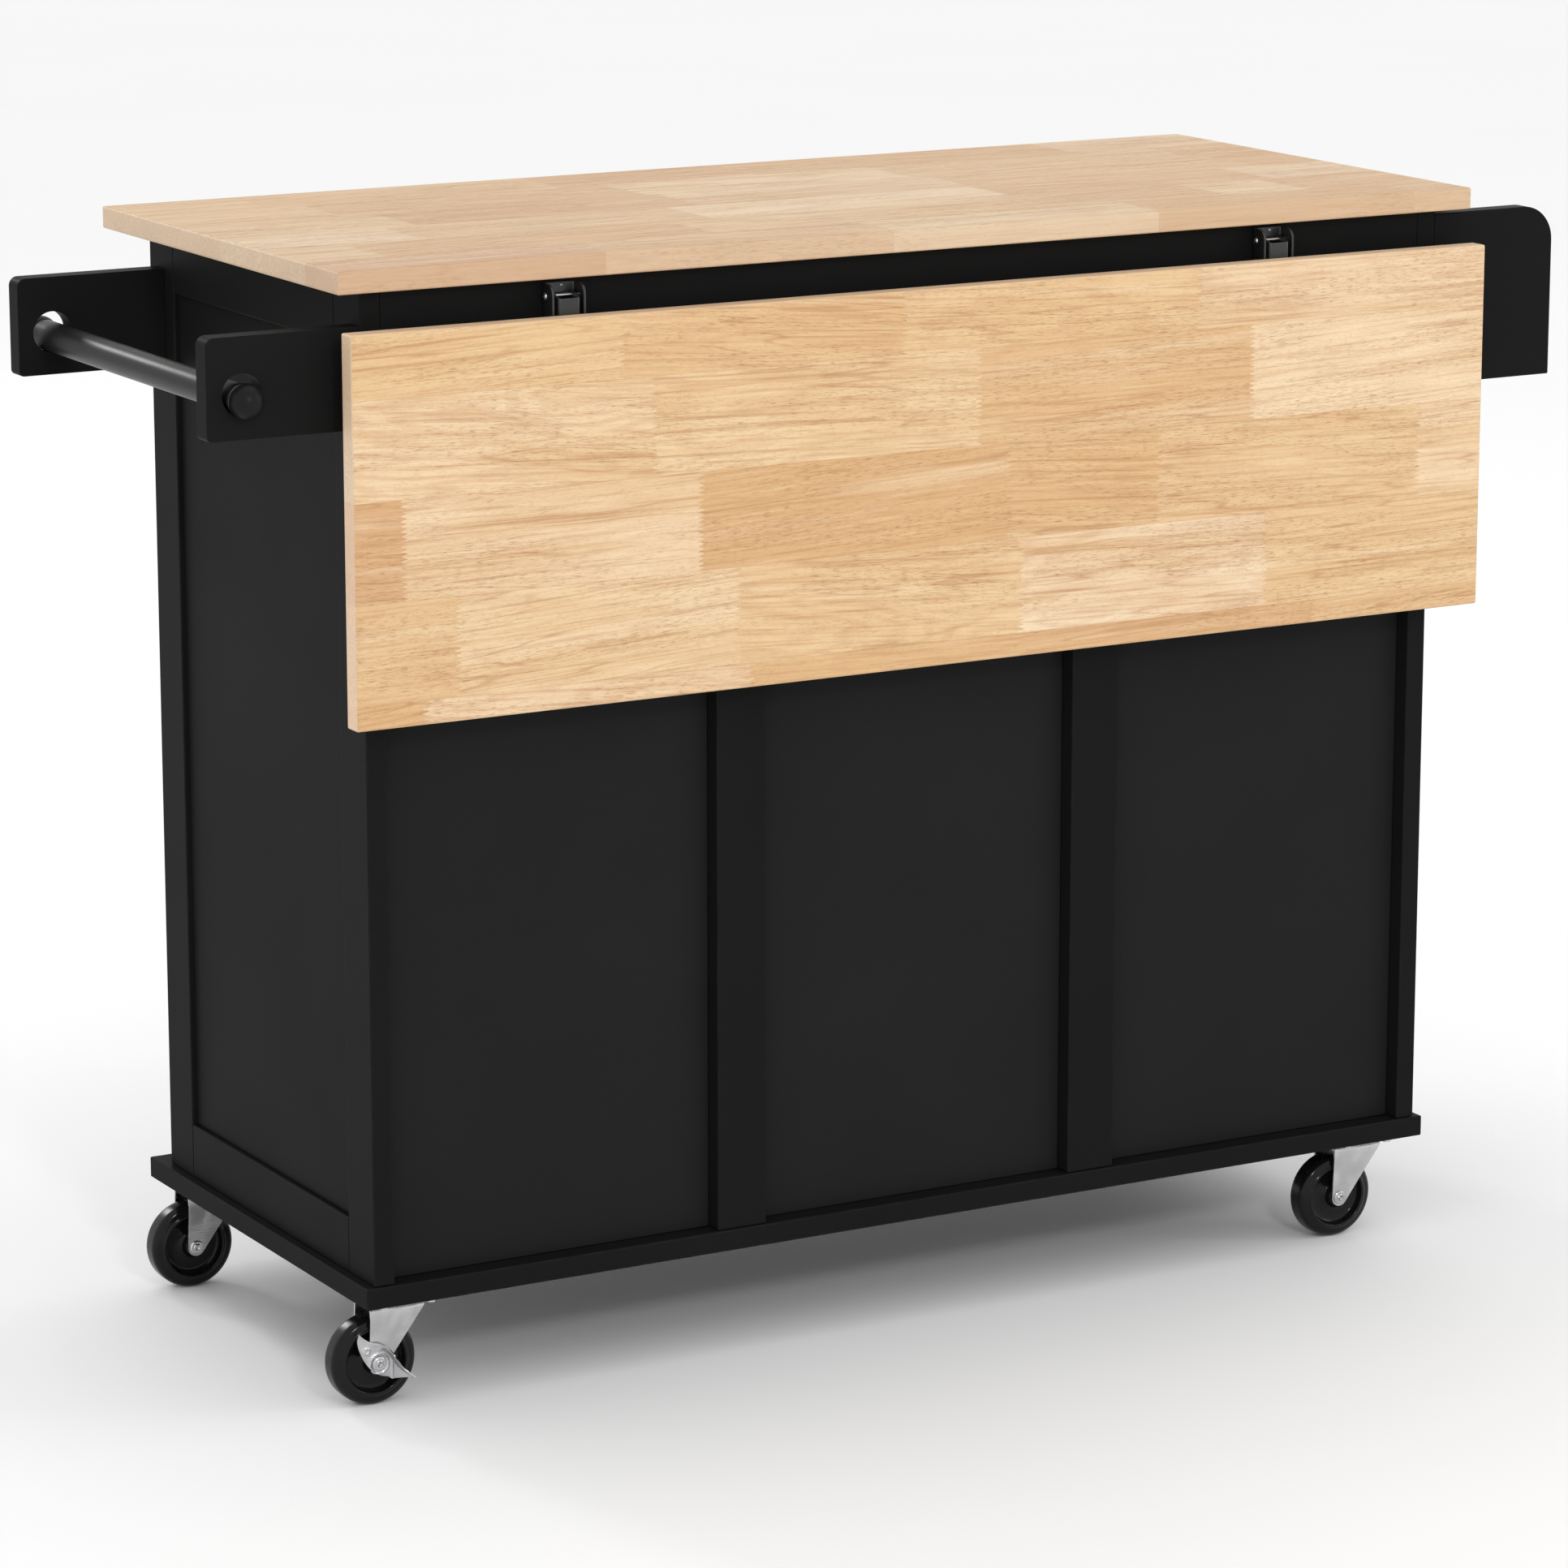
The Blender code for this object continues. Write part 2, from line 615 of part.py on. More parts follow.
def build_leaf():
    hinge = pivot("leaf_hinge", (0, LEAF_PIVOT_Y, LEAF_PIVOT_Z), CART)
    half = LEAF_LENGTH / 2
    board("drop_leaf", (-half, LEAF_BACK - TOP_THICKNESS, LEAF_TOP - LEAF_DROP),
          (half, LEAF_BACK, LEAF_TOP), RUBBERWOOD, WOOD_EDGE, 2, hinge)
    wall_mesh = wall_channel_mesh()
    arm_mesh = arm_channel_mesh()
    strut_mesh = brace_mesh()
    strut_x = 0.0013
    for side, sign in (("left", -1), ("right", 1)):
        at_pin = (sign * BRACKET_X, LEAF_PIVOT_Y, LEAF_PIVOT_Z)
        make_part(f"{side}_bracket_wall_channel", wall_mesh, BLACK_STEEL, at_pin)
        make_part(f"{side}_bracket_arm", arm_mesh, BLACK_STEEL, at_pin, hinge)
        low_pin = (sign * BRACKET_X + strut_x, LEAF_PIVOT_Y, LEAF_PIVOT_Z - BRACE_DROP)
        brace_hinge = pivot(f"{side}_brace_hinge", low_pin, CART)
        make_part(f"{side}_bracket_brace", strut_mesh, BLACK_STEEL, low_pin, brace_hinge, IN_YZ)


# ---------------------------------------------------------------- towel bar
def bar_profile(length):
    """Half outline of the bar from its top ball to its bottom ball; the balls' centres are length apart."""
    half = length / 2
    neck_angle = math.degrees(math.asin(BAR_NECK_RADIUS / BALL_RADIUS))
    neck_height = half - BALL_RADIUS * math.cos(math.radians(neck_angle))
    top_ball = [(r, half + h) for h, r in arc((0, 0), BALL_RADIUS, 0, 180 - neck_angle, 8)]
    top_ball[0] = (0, half + BALL_RADIUS)
    shoulder = [(BAR_NECK_RADIUS, neck_height - 0.0012), (BAR_RADIUS, neck_height - 0.0022)]
    upper = top_ball + shoulder
    lower = [(r, -h) for r, h in reversed(upper)]
    return upper + lower


def build_towel_bar():
    end_x = -HALF_CASE - ARM_REACH
    hole_x = end_x + BAR_HOLE_INSET
    rear_arm_y = CASE_REAR
    corners = {(-1, 1): ARM_TOP_CORNER, (-1, -1): ARM_BOTTOM_CORNER}
    for name, low_y in (("rear_towel_arm", rear_arm_y), ("front_towel_arm", FRONT_ARM_Y)):
        arm = cornered_board(name, (end_x, low_y, ARM_BOTTOM), (-HALF_CASE - GAP, low_y + ARM_THICKNESS, ARM_TOP),
                             corners)
        cutter = make_cutter(f"{name}_hole", rod_mesh(name + "_hole", BAR_HOLE_RADIUS, ARM_THICKNESS * 2, 32),
                             (hole_x, low_y + ARM_THICKNESS / 2, BAR_HOLE_Z), Z_TO_Y)
        add_boolean(arm, cutter, "DIFFERENCE")
    rear_ball = rear_arm_y - BALL_STAND_OUT
    front_ball = FRONT_ARM_Y + ARM_THICKNESS + BALL_STAND_OUT
    bar_z = BAR_HOLE_Z - BAR_HOLE_RADIUS + BAR_RADIUS + 2 * GAP
    middle = (hole_x, (rear_ball + front_ball) / 2, bar_z)
    spin = pivot("towel_bar_axis", middle, CART)
    turned("towel_bar", bar_profile(front_ball - rear_ball), BLACK_PAINT, middle, spin, Z_TO_Y,
           BAR_STEPS)


# ---------------------------------------------------------------- spice rack
def build_spice_rack():
    near_x = HALF_CASE + GAP
    far_x = HALF_CASE + RACK_REACH
    corners = {(1, 1): RACK_CORNER}
    for name, low_y in (("rear_rack_end", CASE_REAR), ("front_rack_end", FRONT_ARM_Y)):
        cornered_board(name, (near_x, low_y, RACK_BOTTOM), (far_x, low_y + ARM_THICKNESS, RACK_TOP), corners)
    inside = (CASE_REAR + ARM_THICKNESS + GAP, FRONT_ARM_Y - GAP)
    shelf_bottom = RACK_BOTTOM + RACK_SHELF_LIFT
    shelf_top = shelf_bottom + RACK_SHELF_THICKNESS
    shelf_end = near_x + RACK_SHELF_DEPTH
    board("rack_shelf", (near_x, inside[0], shelf_bottom), (shelf_end, inside[1], shelf_top))
    board("rack_rail", (shelf_end - RACK_SHELF_THICKNESS, inside[0], shelf_top + GAP),
          (shelf_end, inside[1], shelf_top + GAP + RACK_RAIL_HEIGHT))


# ---------------------------------------------------------------- casters
def wheel_profile():
    """Closed half section: crowned tread, beaded rim, sunk disc, hub and bore."""
    half = WHEEL_WIDTH / 2
    flat = WHEEL_TREAD_FLAT / 2
    bore = AXLE_RADIUS + GAP
    disc = half - WHEEL_RECESS_DEPTH
    round_height = half - 0.0008 - flat
    round_drop = WHEEL_RADIUS - WHEEL_FACE_RADIUS
    upper = [(bore, WHEEL_HUB_HALF), (WHEEL_HUB_RADIUS, WHEEL_HUB_HALF), (WHEEL_HUB_RADIUS + 0.001, disc),
             (WHEEL_RECESS_RADIUS - 0.0015, disc), (WHEEL_RECESS_RADIUS, disc + 0.0025),
             (WHEEL_RECESS_RADIUS + 0.001, half), (WHEEL_FACE_RADIUS - 0.0012, half)]
    for i in range(4):
        angle = math.radians(90 - 90 * i / 3)
        upper.append((WHEEL_FACE_RADIUS + round_drop * math.cos(angle), flat + round_height * math.sin(angle)))
    lower = [(radius, -height) for radius, height in reversed(upper)]
    return upper + lower


def fork_mesh(brake_side):
    """Pressed fork with its axle; the origin is on the swivel axis at floor level.

    brake_side is -1 or 1 where a brake lever sits between the leg and the axle's head, or 0.
    """
    outer_half = FORK_INNER_HALF + FORK_SHEET
    axle = (-CASTER_TRAIL, WHEEL_RADIUS)
    length = FORK_BACK + FORK_NOSE
    depth = FORK_CROWN_TOP - WHEEL_RADIUS + FORK_TOE_RADIUS + 0.004
    channel = outline_mesh("channel", [channel_outline(2 * outer_half, depth, FORK_SHEET, FORK_BEND)],
                           length + 0.010)
    toe = FORK_TOE_RADIUS
    slant = math.degrees(math.atan2(FORK_CROWN_TOP - WHEEL_RADIUS, FORK_NOSE + CASTER_TRAIL - toe))
    leg = arc(axle, toe, 180, 270 + slant, 10)
    leg += [(FORK_NOSE, FORK_CROWN_TOP - 0.003), (FORK_NOSE, FORK_CROWN_TOP + 0.002)]
    leg += [(-FORK_BACK, FORK_CROWN_TOP + 0.002)]
    side = outline_mesh("leg", [leg], 2 * outer_half + 0.010)
    ends = {-1: outer_half + AXLE_HEAD, 1: outer_half + AXLE_HEAD}
    heads = []
    for sign in (-1, 1):
        extra = LEVER_SHEET + 2 * GAP if sign == brake_side else 0.0
        ends[sign] += extra
        head = rod_mesh("head", AXLE_HEAD_RADIUS, AXLE_HEAD + (0 if extra else 0.0004), 20)
        inset = 0 if extra else 0.0002
        heads.append(("UNION", head, (axle[0], sign * (ends[sign] - AXLE_HEAD / 2 - inset), axle[1]), Z_TO_Y))
    rod_length = ends[1] + ends[-1] - AXLE_HEAD
    rod = rod_mesh("axle", AXLE_RADIUS, rod_length, 20)
    race_top = BASE_UNDERSIDE - GAP - CASTER_PLATE_THICKNESS - GAP
    race_bottom = FORK_CROWN_TOP - FORK_SHEET / 2
    race = rod_mesh("race", RACE_RADIUS, race_top - race_bottom, 28)
    lying = (math.pi / 2, 0, math.pi / 2)
    return combined_mesh("fork", (channel, (-(FORK_BACK - FORK_NOSE) / 2, 0, FORK_CROWN_TOP), lying), [
        ("INTERSECT", side, (0, 0, 0), IN_XZ),
        ("UNION", race, (0, 0, (race_top + race_bottom) / 2), (0, 0, 0)),
        ("UNION", rod, (axle[0], (ends[1] - ends[-1]) / 2, axle[1]), Z_TO_Y)] + heads)


def lever_mesh(side):
    """Stamped brake lever: a wing about the axle with a foot lip along its upper edge."""
    tail = (-0.0165, 0.0253)
    tip = (0.0282, -0.0179)
    belly = [(-0.0178, 0.0194), (-0.0156, 0.0105), (-0.0114, 0.0017), (-0.0055, -0.0057), (0.0014, -0.0108),
             (0.0100, -0.0147), (0.0193, -0.0163)]
    upper = [(0.0210, -0.0082), (0.0141, 0.0019), (0.0078, 0.0099), (0.0008, 0.0153), (-0.0069, 0.0184)]
    hole = arc((0, 0), AXLE_RADIUS + GAP, 0, 342, 19)
    wing = outline_mesh("wing", [[tail] + belly + [tip] + upper, hole], LEVER_SHEET)
    half = LEVER_SHEET / 2
    inner_edge = [(0.0269, -0.0181), (0.0199, -0.0093), (0.0132, 0.0008), (0.0071, 0.0084), (0.0005, 0.0135)]
    outer_edge = [(0.0017, 0.0147), (0.0085, 0.0094), (0.0148, 0.0014), (0.0216, -0.0087), (0.0290, -0.0176)]
    lip = outline_mesh("lip", [inner_edge + outer_edge], PEDAL_DEPTH)
    lip_y = side * (PEDAL_DEPTH / 2 - half + 0.0004)
    return combined_mesh("lever", (wing, (0, 0, 0), IN_XZ), [("UNION", lip, (0, lip_y, 0), IN_XZ)])


def build_casters():
    forks = {0: fork_mesh(0), -1: fork_mesh(-1), 1: fork_mesh(1)}
    levers = {-1: lever_mesh(-1), 1: lever_mesh(1)}
    wheel_mesh = turned_mesh("wheel", wheel_profile(), True)
    corners = {"rear_left": (-1, -1, -1), "rear_right": (1, -1, 0),
               "front_left": (-1, 1, 0), "front_right": (1, 1, 1)}
    plate_top = BASE_UNDERSIDE - GAP
    for corner, (sign_x, sign_y, brake_side) in corners.items():
        x = sign_x * CASTER_X
        y = BASE_OFFSET_Y + sign_y * CASTER_Y
        board(f"{corner}_caster_plate",
              (x - CASTER_PLATE_LENGTH / 2, y - CASTER_PLATE_WIDTH / 2, plate_top - CASTER_PLATE_THICKNESS),
              (x + CASTER_PLATE_LENGTH / 2, y + CASTER_PLATE_WIDTH / 2, plate_top), ZINC, 0.0005)
        swivel = pivot(f"{corner}_swivel", (x, y, 0), CART)
        make_part(f"{corner}_caster_fork", forks[brake_side], ZINC, (x, y, 0), swivel)
        axle = (x - CASTER_TRAIL, y, WHEEL_RADIUS)
        axle_pivot = pivot(f"{corner}_axle", axle, swivel)
        wheel = make_part(f"{corner}_wheel", wheel_mesh, WHEEL_BLACK, axle, axle_pivot, Z_TO_Y)
        add_screw(wheel, WHEEL_STEPS)
        if brake_side:
            out = FORK_INNER_HALF + FORK_SHEET + GAP + LEVER_SHEET / 2
            make_part(f"{corner}_brake_lever", levers[brake_side], ZINC,
                      (axle[0], y + brake_side * out, axle[2]), axle_pivot)


build_boards()
for side_name, side_sign in (("left", -1), ("right", 1)):
    build_side(side_name, side_sign)
    build_drawer(side_name, side_sign)
    build_door(side_name, side_sign)
build_back()
build_inside()
build_leaf()
build_towel_bar()
build_spice_rack()
build_casters()
bpy.context.view_layer.update()
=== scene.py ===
"""Looks of the kitchen island cart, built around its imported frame.

Metres, +Z up. The drop leaf hangs on the -Y side, doors and drawers are at +Y, the towel bar is at
the -X end and the spice rack at the +X end.
"""

import json
import math

import bmesh
import bpy
from mathutils import Matrix, Vector


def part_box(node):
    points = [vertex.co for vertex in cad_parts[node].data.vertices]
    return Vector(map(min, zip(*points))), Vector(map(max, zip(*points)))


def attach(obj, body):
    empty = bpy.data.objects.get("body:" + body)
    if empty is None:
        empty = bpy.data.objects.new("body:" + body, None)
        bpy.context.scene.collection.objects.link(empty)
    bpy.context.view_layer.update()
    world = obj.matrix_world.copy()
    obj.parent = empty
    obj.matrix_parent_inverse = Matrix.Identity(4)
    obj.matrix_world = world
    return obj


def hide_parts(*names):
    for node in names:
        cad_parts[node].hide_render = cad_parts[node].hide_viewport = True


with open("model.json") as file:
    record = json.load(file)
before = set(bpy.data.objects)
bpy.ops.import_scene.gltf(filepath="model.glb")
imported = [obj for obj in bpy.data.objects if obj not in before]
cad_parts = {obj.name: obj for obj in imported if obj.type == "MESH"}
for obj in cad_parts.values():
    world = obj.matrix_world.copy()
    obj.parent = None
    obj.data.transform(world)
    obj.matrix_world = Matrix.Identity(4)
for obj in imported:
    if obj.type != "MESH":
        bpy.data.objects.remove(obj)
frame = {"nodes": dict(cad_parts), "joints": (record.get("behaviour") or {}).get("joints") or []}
NODES = frame["nodes"]
JOINTS = {joint["name"]: joint for joint in frame["joints"]}
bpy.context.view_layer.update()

X_AXIS = Vector((1, 0, 0))
Y_AXIS = Vector((0, 1, 0))
Z_AXIS = Vector((0, 0, 1))
CORNERS = ("rear_left", "rear_right", "front_left", "front_right")
BRAKE_SIDES = {"rear_left": -1, "front_right": 1}
SIDES = {"left": -1, "right": 1}

# Wood: rows of staves along X. Each row lists its staves from the -X end as (end in millimetres, tone),
# with tones from 0, cream, to 1, pinkish brown. Rows go up the leaf, and towards +Y on the worktop.
STAVE_ROW = 0.081
FINGER_PITCH = 0.004
FINGER_SLOPE = 3.2
STAVE_JOINT = 0.0005
GRAIN_LEAN = 0.14
WOOD_EDGE = 0.0016
LEAF_FIRST_ROW = 0.020
TOP_FIRST_ROW = 0.060
LEAF_STAVES = (
    ((62, 0.80), (355, 0.12), (615, 0.66), (910, 0.84), (1080, 0.45)),
    ((90, 0.50), (345, 0.22), (612, 0.34), (860, 0.00), (1080, 0.36)),
    ((45, 0.92), (310, 0.12), (600, 0.78), (750, 0.66), (1015, 0.34), (1080, 0.14)),
    ((268, 0.20), (572, 0.28), (840, 0.56), (1080, 0.10)),
    ((238, 0.46), (500, 0.52), (788, 0.44), (1080, 0.16)),
)
TOP_STAVES = (
    ((237, 0.98), (505, 0.50), (760, 0.20), (1025, 0.74), (1080, 0.60)),
    ((75, 0.32), (370, 0.72), (662, 0.46), (870, 0.58), (950, 0.28), (1080, 0.66)),
    ((145, 0.10), (410, 0.48), (705, 0.14), (968, 0.70), (1080, 0.18)),
    ((178, 0.36), (443, 0.86), (712, 0.22), (1005, 0.58), (1080, 0.68)),
    ((150, 0.40), (435, 0.60), (700, 0.26), (995, 0.44), (1080, 0.62)),
    ((120, 0.44), (393, 0.56), (590, 0.84), (918, 0.74), (1080, 0.16)),
)

# Casters
FORK_SHEET = 0.0020
FORK_HALF = 0.0158
FORK_BEND = 0.0050
FORK_TOE = 0.0078
FORK_BACK = 0.0325
FORK_NOSE = 0.0160
FORK_NOSE_DROP = 0.004
FORK_CROWN_DROP = 0.0022
FORK_FLARE = 0.0016
RACE_RADIUS = 0.0175
LEVER_SHEET = 0.0016
LEVER_BELLY = ((-0.0176, 0.0266), (-0.0193, 0.0200), (-0.0155, 0.0080), (-0.0086, -0.0028), (0.0, -0.0096),
               (0.0082, -0.0122), (0.0112, -0.0143), (0.0182, -0.0148), (0.0250, -0.0154), (0.0302, -0.0168))
LEVER_CREST = ((-0.0172, 0.0268), (-0.0121, 0.0223), (-0.0061, 0.0188), (0.0003, 0.0172), (0.0078, 0.0118),
               (0.0140, 0.0022), (0.0200, -0.0062), (0.0246, -0.0114), (0.0306, -0.0163))
LEVER_DOME = Vector((0.0008, 0.0128))
LEVER_BOSS = Vector((-0.0110, 0.0120))
PLATE_CORNER = 0.005
BOLT_INSET = 0.0085

# Brackets
BRACKET_HALF = 0.015
BRACKET_SHEET = 0.0018
ARM_SHEET = 0.0016
BRACKET_BEND = 0.0030
WALL_CORNER = 0.009
ARM_EYE = 0.0036
ARM_FOOT_CORNER = 0.006
ARM_FOOT_RISE = 0.060
ARM_WEB_DROP = 0.0010
ARM_SCREW_RISES = (0.012, 0.030, 0.090)

# Glue lines in the case's joints
GLUE_HALF = 0.0004
GLUE_SETBACK = 0.004

# Towel bar arms and rack ends
ARM_EDGE = 0.0024
RACK_EDGE = 0.0009
ARM_HOLE_RADIUS = 0.0172
ARM_HOLE_INSET = 0.0305
ARM_HOLE_RISE = 0.0356
ARM_ROUNDING = {(-1, 1): 0.0075, (-1, -1): 0.0042}
RACK_ROUNDING = {(1, 1): 0.030}
BAR_ROD = 0.0125
BAR_NECK = 0.0106
BALL_STEPS = 22

# Doors and drawers
HINGE_INSET = 0.090
RUNNER_SHEET = 0.0011
RUNNER_EDGE = 0.0003


# ---- camera and lights
CAMERA_PLACE = (-2.483, -4.380, 1.5782)
CAMERA_YAW = 0.5134
CAMERA_PITCH = -0.2240
CAMERA_LENS = 136.1
FLOOR_REACH = 40.0
LIGHT_TARGET = Vector((0.0, 0.0, 0.45))
LIGHTS = {  # place, size in metres, power in watts
    "key": ((-1.0, -4.4, 2.6), (0.5, 0.5), 32),
    "fill": ((3.6, -2.4, 2.0), (0.4, 1.6), 12),
    "top": ((0.2, 0.4, 4.2), (3.0, 2.2), 8),
    "front": ((-1.2, 4.4, 2.6), (0.8, 0.8), 32),
}


def add_object(name, data):
    item = bpy.data.objects.new(name, data)
    bpy.context.scene.collection.objects.link(item)
    return item


def aim(item, place, direction):
    """Puts a camera or light in its place, looking along a direction."""
    item.location = place
    item.rotation_mode = "QUATERNION"
    item.rotation_quaternion = direction.to_track_quat("-Z", "Y")


def add_camera():
    level = math.cos(CAMERA_PITCH)
    forward = Vector((math.sin(CAMERA_YAW) * level, math.cos(CAMERA_YAW) * level, math.sin(CAMERA_PITCH)))
    data = bpy.data.cameras.new("camera")
    data.sensor_width = 36.0
    data.lens = CAMERA_LENS
    data.clip_end = 100.0
    camera = add_object("camera", data)
    aim(camera, CAMERA_PLACE, forward)
    bpy.context.scene.camera = camera


def add_lights():
    for name, (place, size, power) in LIGHTS.items():
        data = bpy.data.lights.new(name, "AREA")
        data.shape = "RECTANGLE"
        data.size, data.size_y = size
        data.energy = power
        aim(add_object(name, data), place, LIGHT_TARGET - Vector(place))
    world = bpy.data.worlds.new("studio")
    world.use_nodes = True
    background = world.node_tree.nodes["Background"]
    background.inputs["Color"].default_value = grey(1.0)
    background.inputs["Strength"].default_value = 1.0
    bpy.context.scene.world = world
    bpy.context.scene.view_settings.view_transform = "Standard"


# ---- material building
COAT_ROUGHNESS = 0.12


def grey(level):
    """A neutral linear colour."""
    return (level, level, level, 1.0)


def shade(red, green, blue):
    """A linear colour from the display values, 0 to 255."""
    def channel(value):
        value /= 255
        return value / 12.92 if value <= 0.04045 else ((value + 0.055) / 1.055) ** 2.4
    return (channel(red), channel(green), channel(blue), 1.0)


class Finish:
    """A material's node tree, with short calls for the nodes that the finishes below use."""

    def __init__(self, name, roughness, metallic=0.0, specular=0.5, coat=0.0):
        self.material = bpy.data.materials.new(name)
        self.material.use_nodes = True
        self.tree = self.material.node_tree
        self.shader = self.tree.nodes["Principled BSDF"]
        constants = {"Roughness": roughness, "Metallic": metallic, "Specular IOR Level": specular,
                     "Coat Weight": coat, "Coat Roughness": COAT_ROUGHNESS}
        for key, value in constants.items():
            self.shader.inputs[key].default_value = value
        self.place = self.add("TexCoord").outputs["Object"]

    def feed(self, socket, value):
        if isinstance(value, bpy.types.NodeSocket):
            self.tree.links.new(value, socket)
        else:
            socket.default_value = value

    def add(self, kind, settings=(), **inputs):
        node = self.tree.nodes.new("ShaderNode" + kind)
        for key, value in dict(settings).items():
            setattr(node, key, value)
        for key, value in inputs.items():
            self.feed(node.inputs[key.replace("_", " ")], value)
        return node

    def math(self, operation, *values):
        node = self.add("Math", {"operation": operation})
        for socket, value in zip(node.inputs, values):
            self.feed(socket, value)
        return node.outputs[0]

    def times(self, first, second):
        return self.math("MULTIPLY", first, second)

    def total(self, *values):
        result = values[0]
        for value in values[1:]:
            result = self.math("ADD", result, value)
        return result

    def stretch(self, vector, factors):
        node = self.add("VectorMath", {"operation": "MULTIPLY"})
        self.feed(node.inputs[0], vector)
        self.feed(node.inputs[1], factors)
        return node.outputs[0]

    def vector(self, x, y, z):
        return self.add("CombineXYZ", X=x, Y=y, Z=z).outputs[0]

    def noise(self, vector, scale, detail, roughness=0.5):
        node = self.add("TexNoise", Vector=vector, Scale=scale, Detail=detail, Roughness=roughness)
        return node.outputs["Fac"]

    def stretched_noise(self, vector, scales, detail=2.0, roughness=0.5):
        """Noise with a scale of its own along each axis."""
        return self.noise(self.stretch(vector, scales), 1.0, detail, roughness)

    def remap(self, value, low, high, to_low=0.0, to_high=1.0):
        node = self.add("MapRange", {"interpolation_type": "SMOOTHSTEP"}, Value=value)
        for key, limit in zip(("From Min", "From Max", "To Min", "To Max"), (low, high, to_low, to_high)):
            self.feed(node.inputs[key], limit)
        return node.outputs[0]

    def mix(self, factor, first, second, blend="MIX"):
        node = self.add("Mix", {"data_type": "RGBA", "blend_type": blend})
        for index, value in ((0, factor), (6, first), (7, second)):
            self.feed(node.inputs[index], value)
        return node.outputs[2]

    def layers(self, base, *coats):
        """The base colour under coats of (mask, amount, colour), laid on in turn."""
        for mask, amount, colour in coats:
            base = self.mix(self.times(mask, amount), base, colour)
        return base

    def ramp(self, value, stops, interpolation="LINEAR"):
        node = self.add("ValToRGB", Fac=value)
        node.color_ramp.interpolation = interpolation
        elements = node.color_ramp.elements
        while len(elements) < len(stops):
            elements.new(0.5)
        for element, (position, colour) in zip(elements, stops):
            element.position = position
            element.color = colour
        return node.outputs["Color"]

    def surface(self, colour, roughness):
        self.feed(self.shader.inputs["Base Color"], colour)
        self.feed(self.shader.inputs["Roughness"], roughness)

    def round_edges(self, radius):
        """The normal of an edge rounded to this radius, and a mask that is 1 on the edge."""
        rounded = self.add("Bevel", {"samples": 4}, Radius=radius).outputs["Normal"]
        plain = self.add("NewGeometry").outputs["Normal"]
        facing = self.add("VectorMath", {"operation": "DOT_PRODUCT"})
        self.feed(facing.inputs[0], rounded)
        self.feed(facing.inputs[1], plain)
        return rounded, self.remap(facing.outputs["Value"], 0.995, 0.90)

    def bump(self, height, distance, normal=None):
        node = self.add("Bump", Height=height, Distance=distance, Strength=1.0)
        if normal is not None:
            self.feed(node.inputs["Normal"], normal)
        self.feed(self.shader.inputs["Normal"], node.outputs["Normal"])


# ---- finishes
CREAM = shade(238, 214, 180)
HONEY = shade(227, 195, 149)
TAN = shade(214, 174, 124)
ROSE = shade(205, 160, 118)
STREAK = shade(172, 118, 70)
PORE = shade(150, 98, 54)
END_PALE = shade(233, 209, 180)
END_PINK = shade(221, 188, 158)
# Colour of the painted highlight on the black paint's edges.
PAINTED_EDGE_HIGHLIGHT = (0.030, 0.030, 0.029, 1.0)


TINT_STEP = 0.618
KIND_STEP = 0.755


def stave_chances(f, rows, row, along, length):
    """Three values for each stave: its tone, its tint and its kind of grain.

    The first of the rows is the part row before the first whole one, so it counts as row -1.
    """
    chosen = (0.5, 0.5, 0.5, 1.0)
    for index, staves in enumerate(rows):
        stops = []
        start = 0.0
        for number, (end, tone) in enumerate(staves):
            tint = (0.37 + TINT_STEP * (number + 2.3 * index)) % 1.0
            kind = (0.11 + KIND_STEP * (number + 1.7 * index)) % 1.0
            stops.append((start / length, (tone, tint, kind, 1.0)))
            start = end / 1000
        here = f.math("COMPARE", row, index - 1.0, 0.5)
        chosen = f.mix(here, chosen, f.ramp(along, stops, "CONSTANT"))
    return f.add("SeparateColor", Color=chosen).outputs[:3]


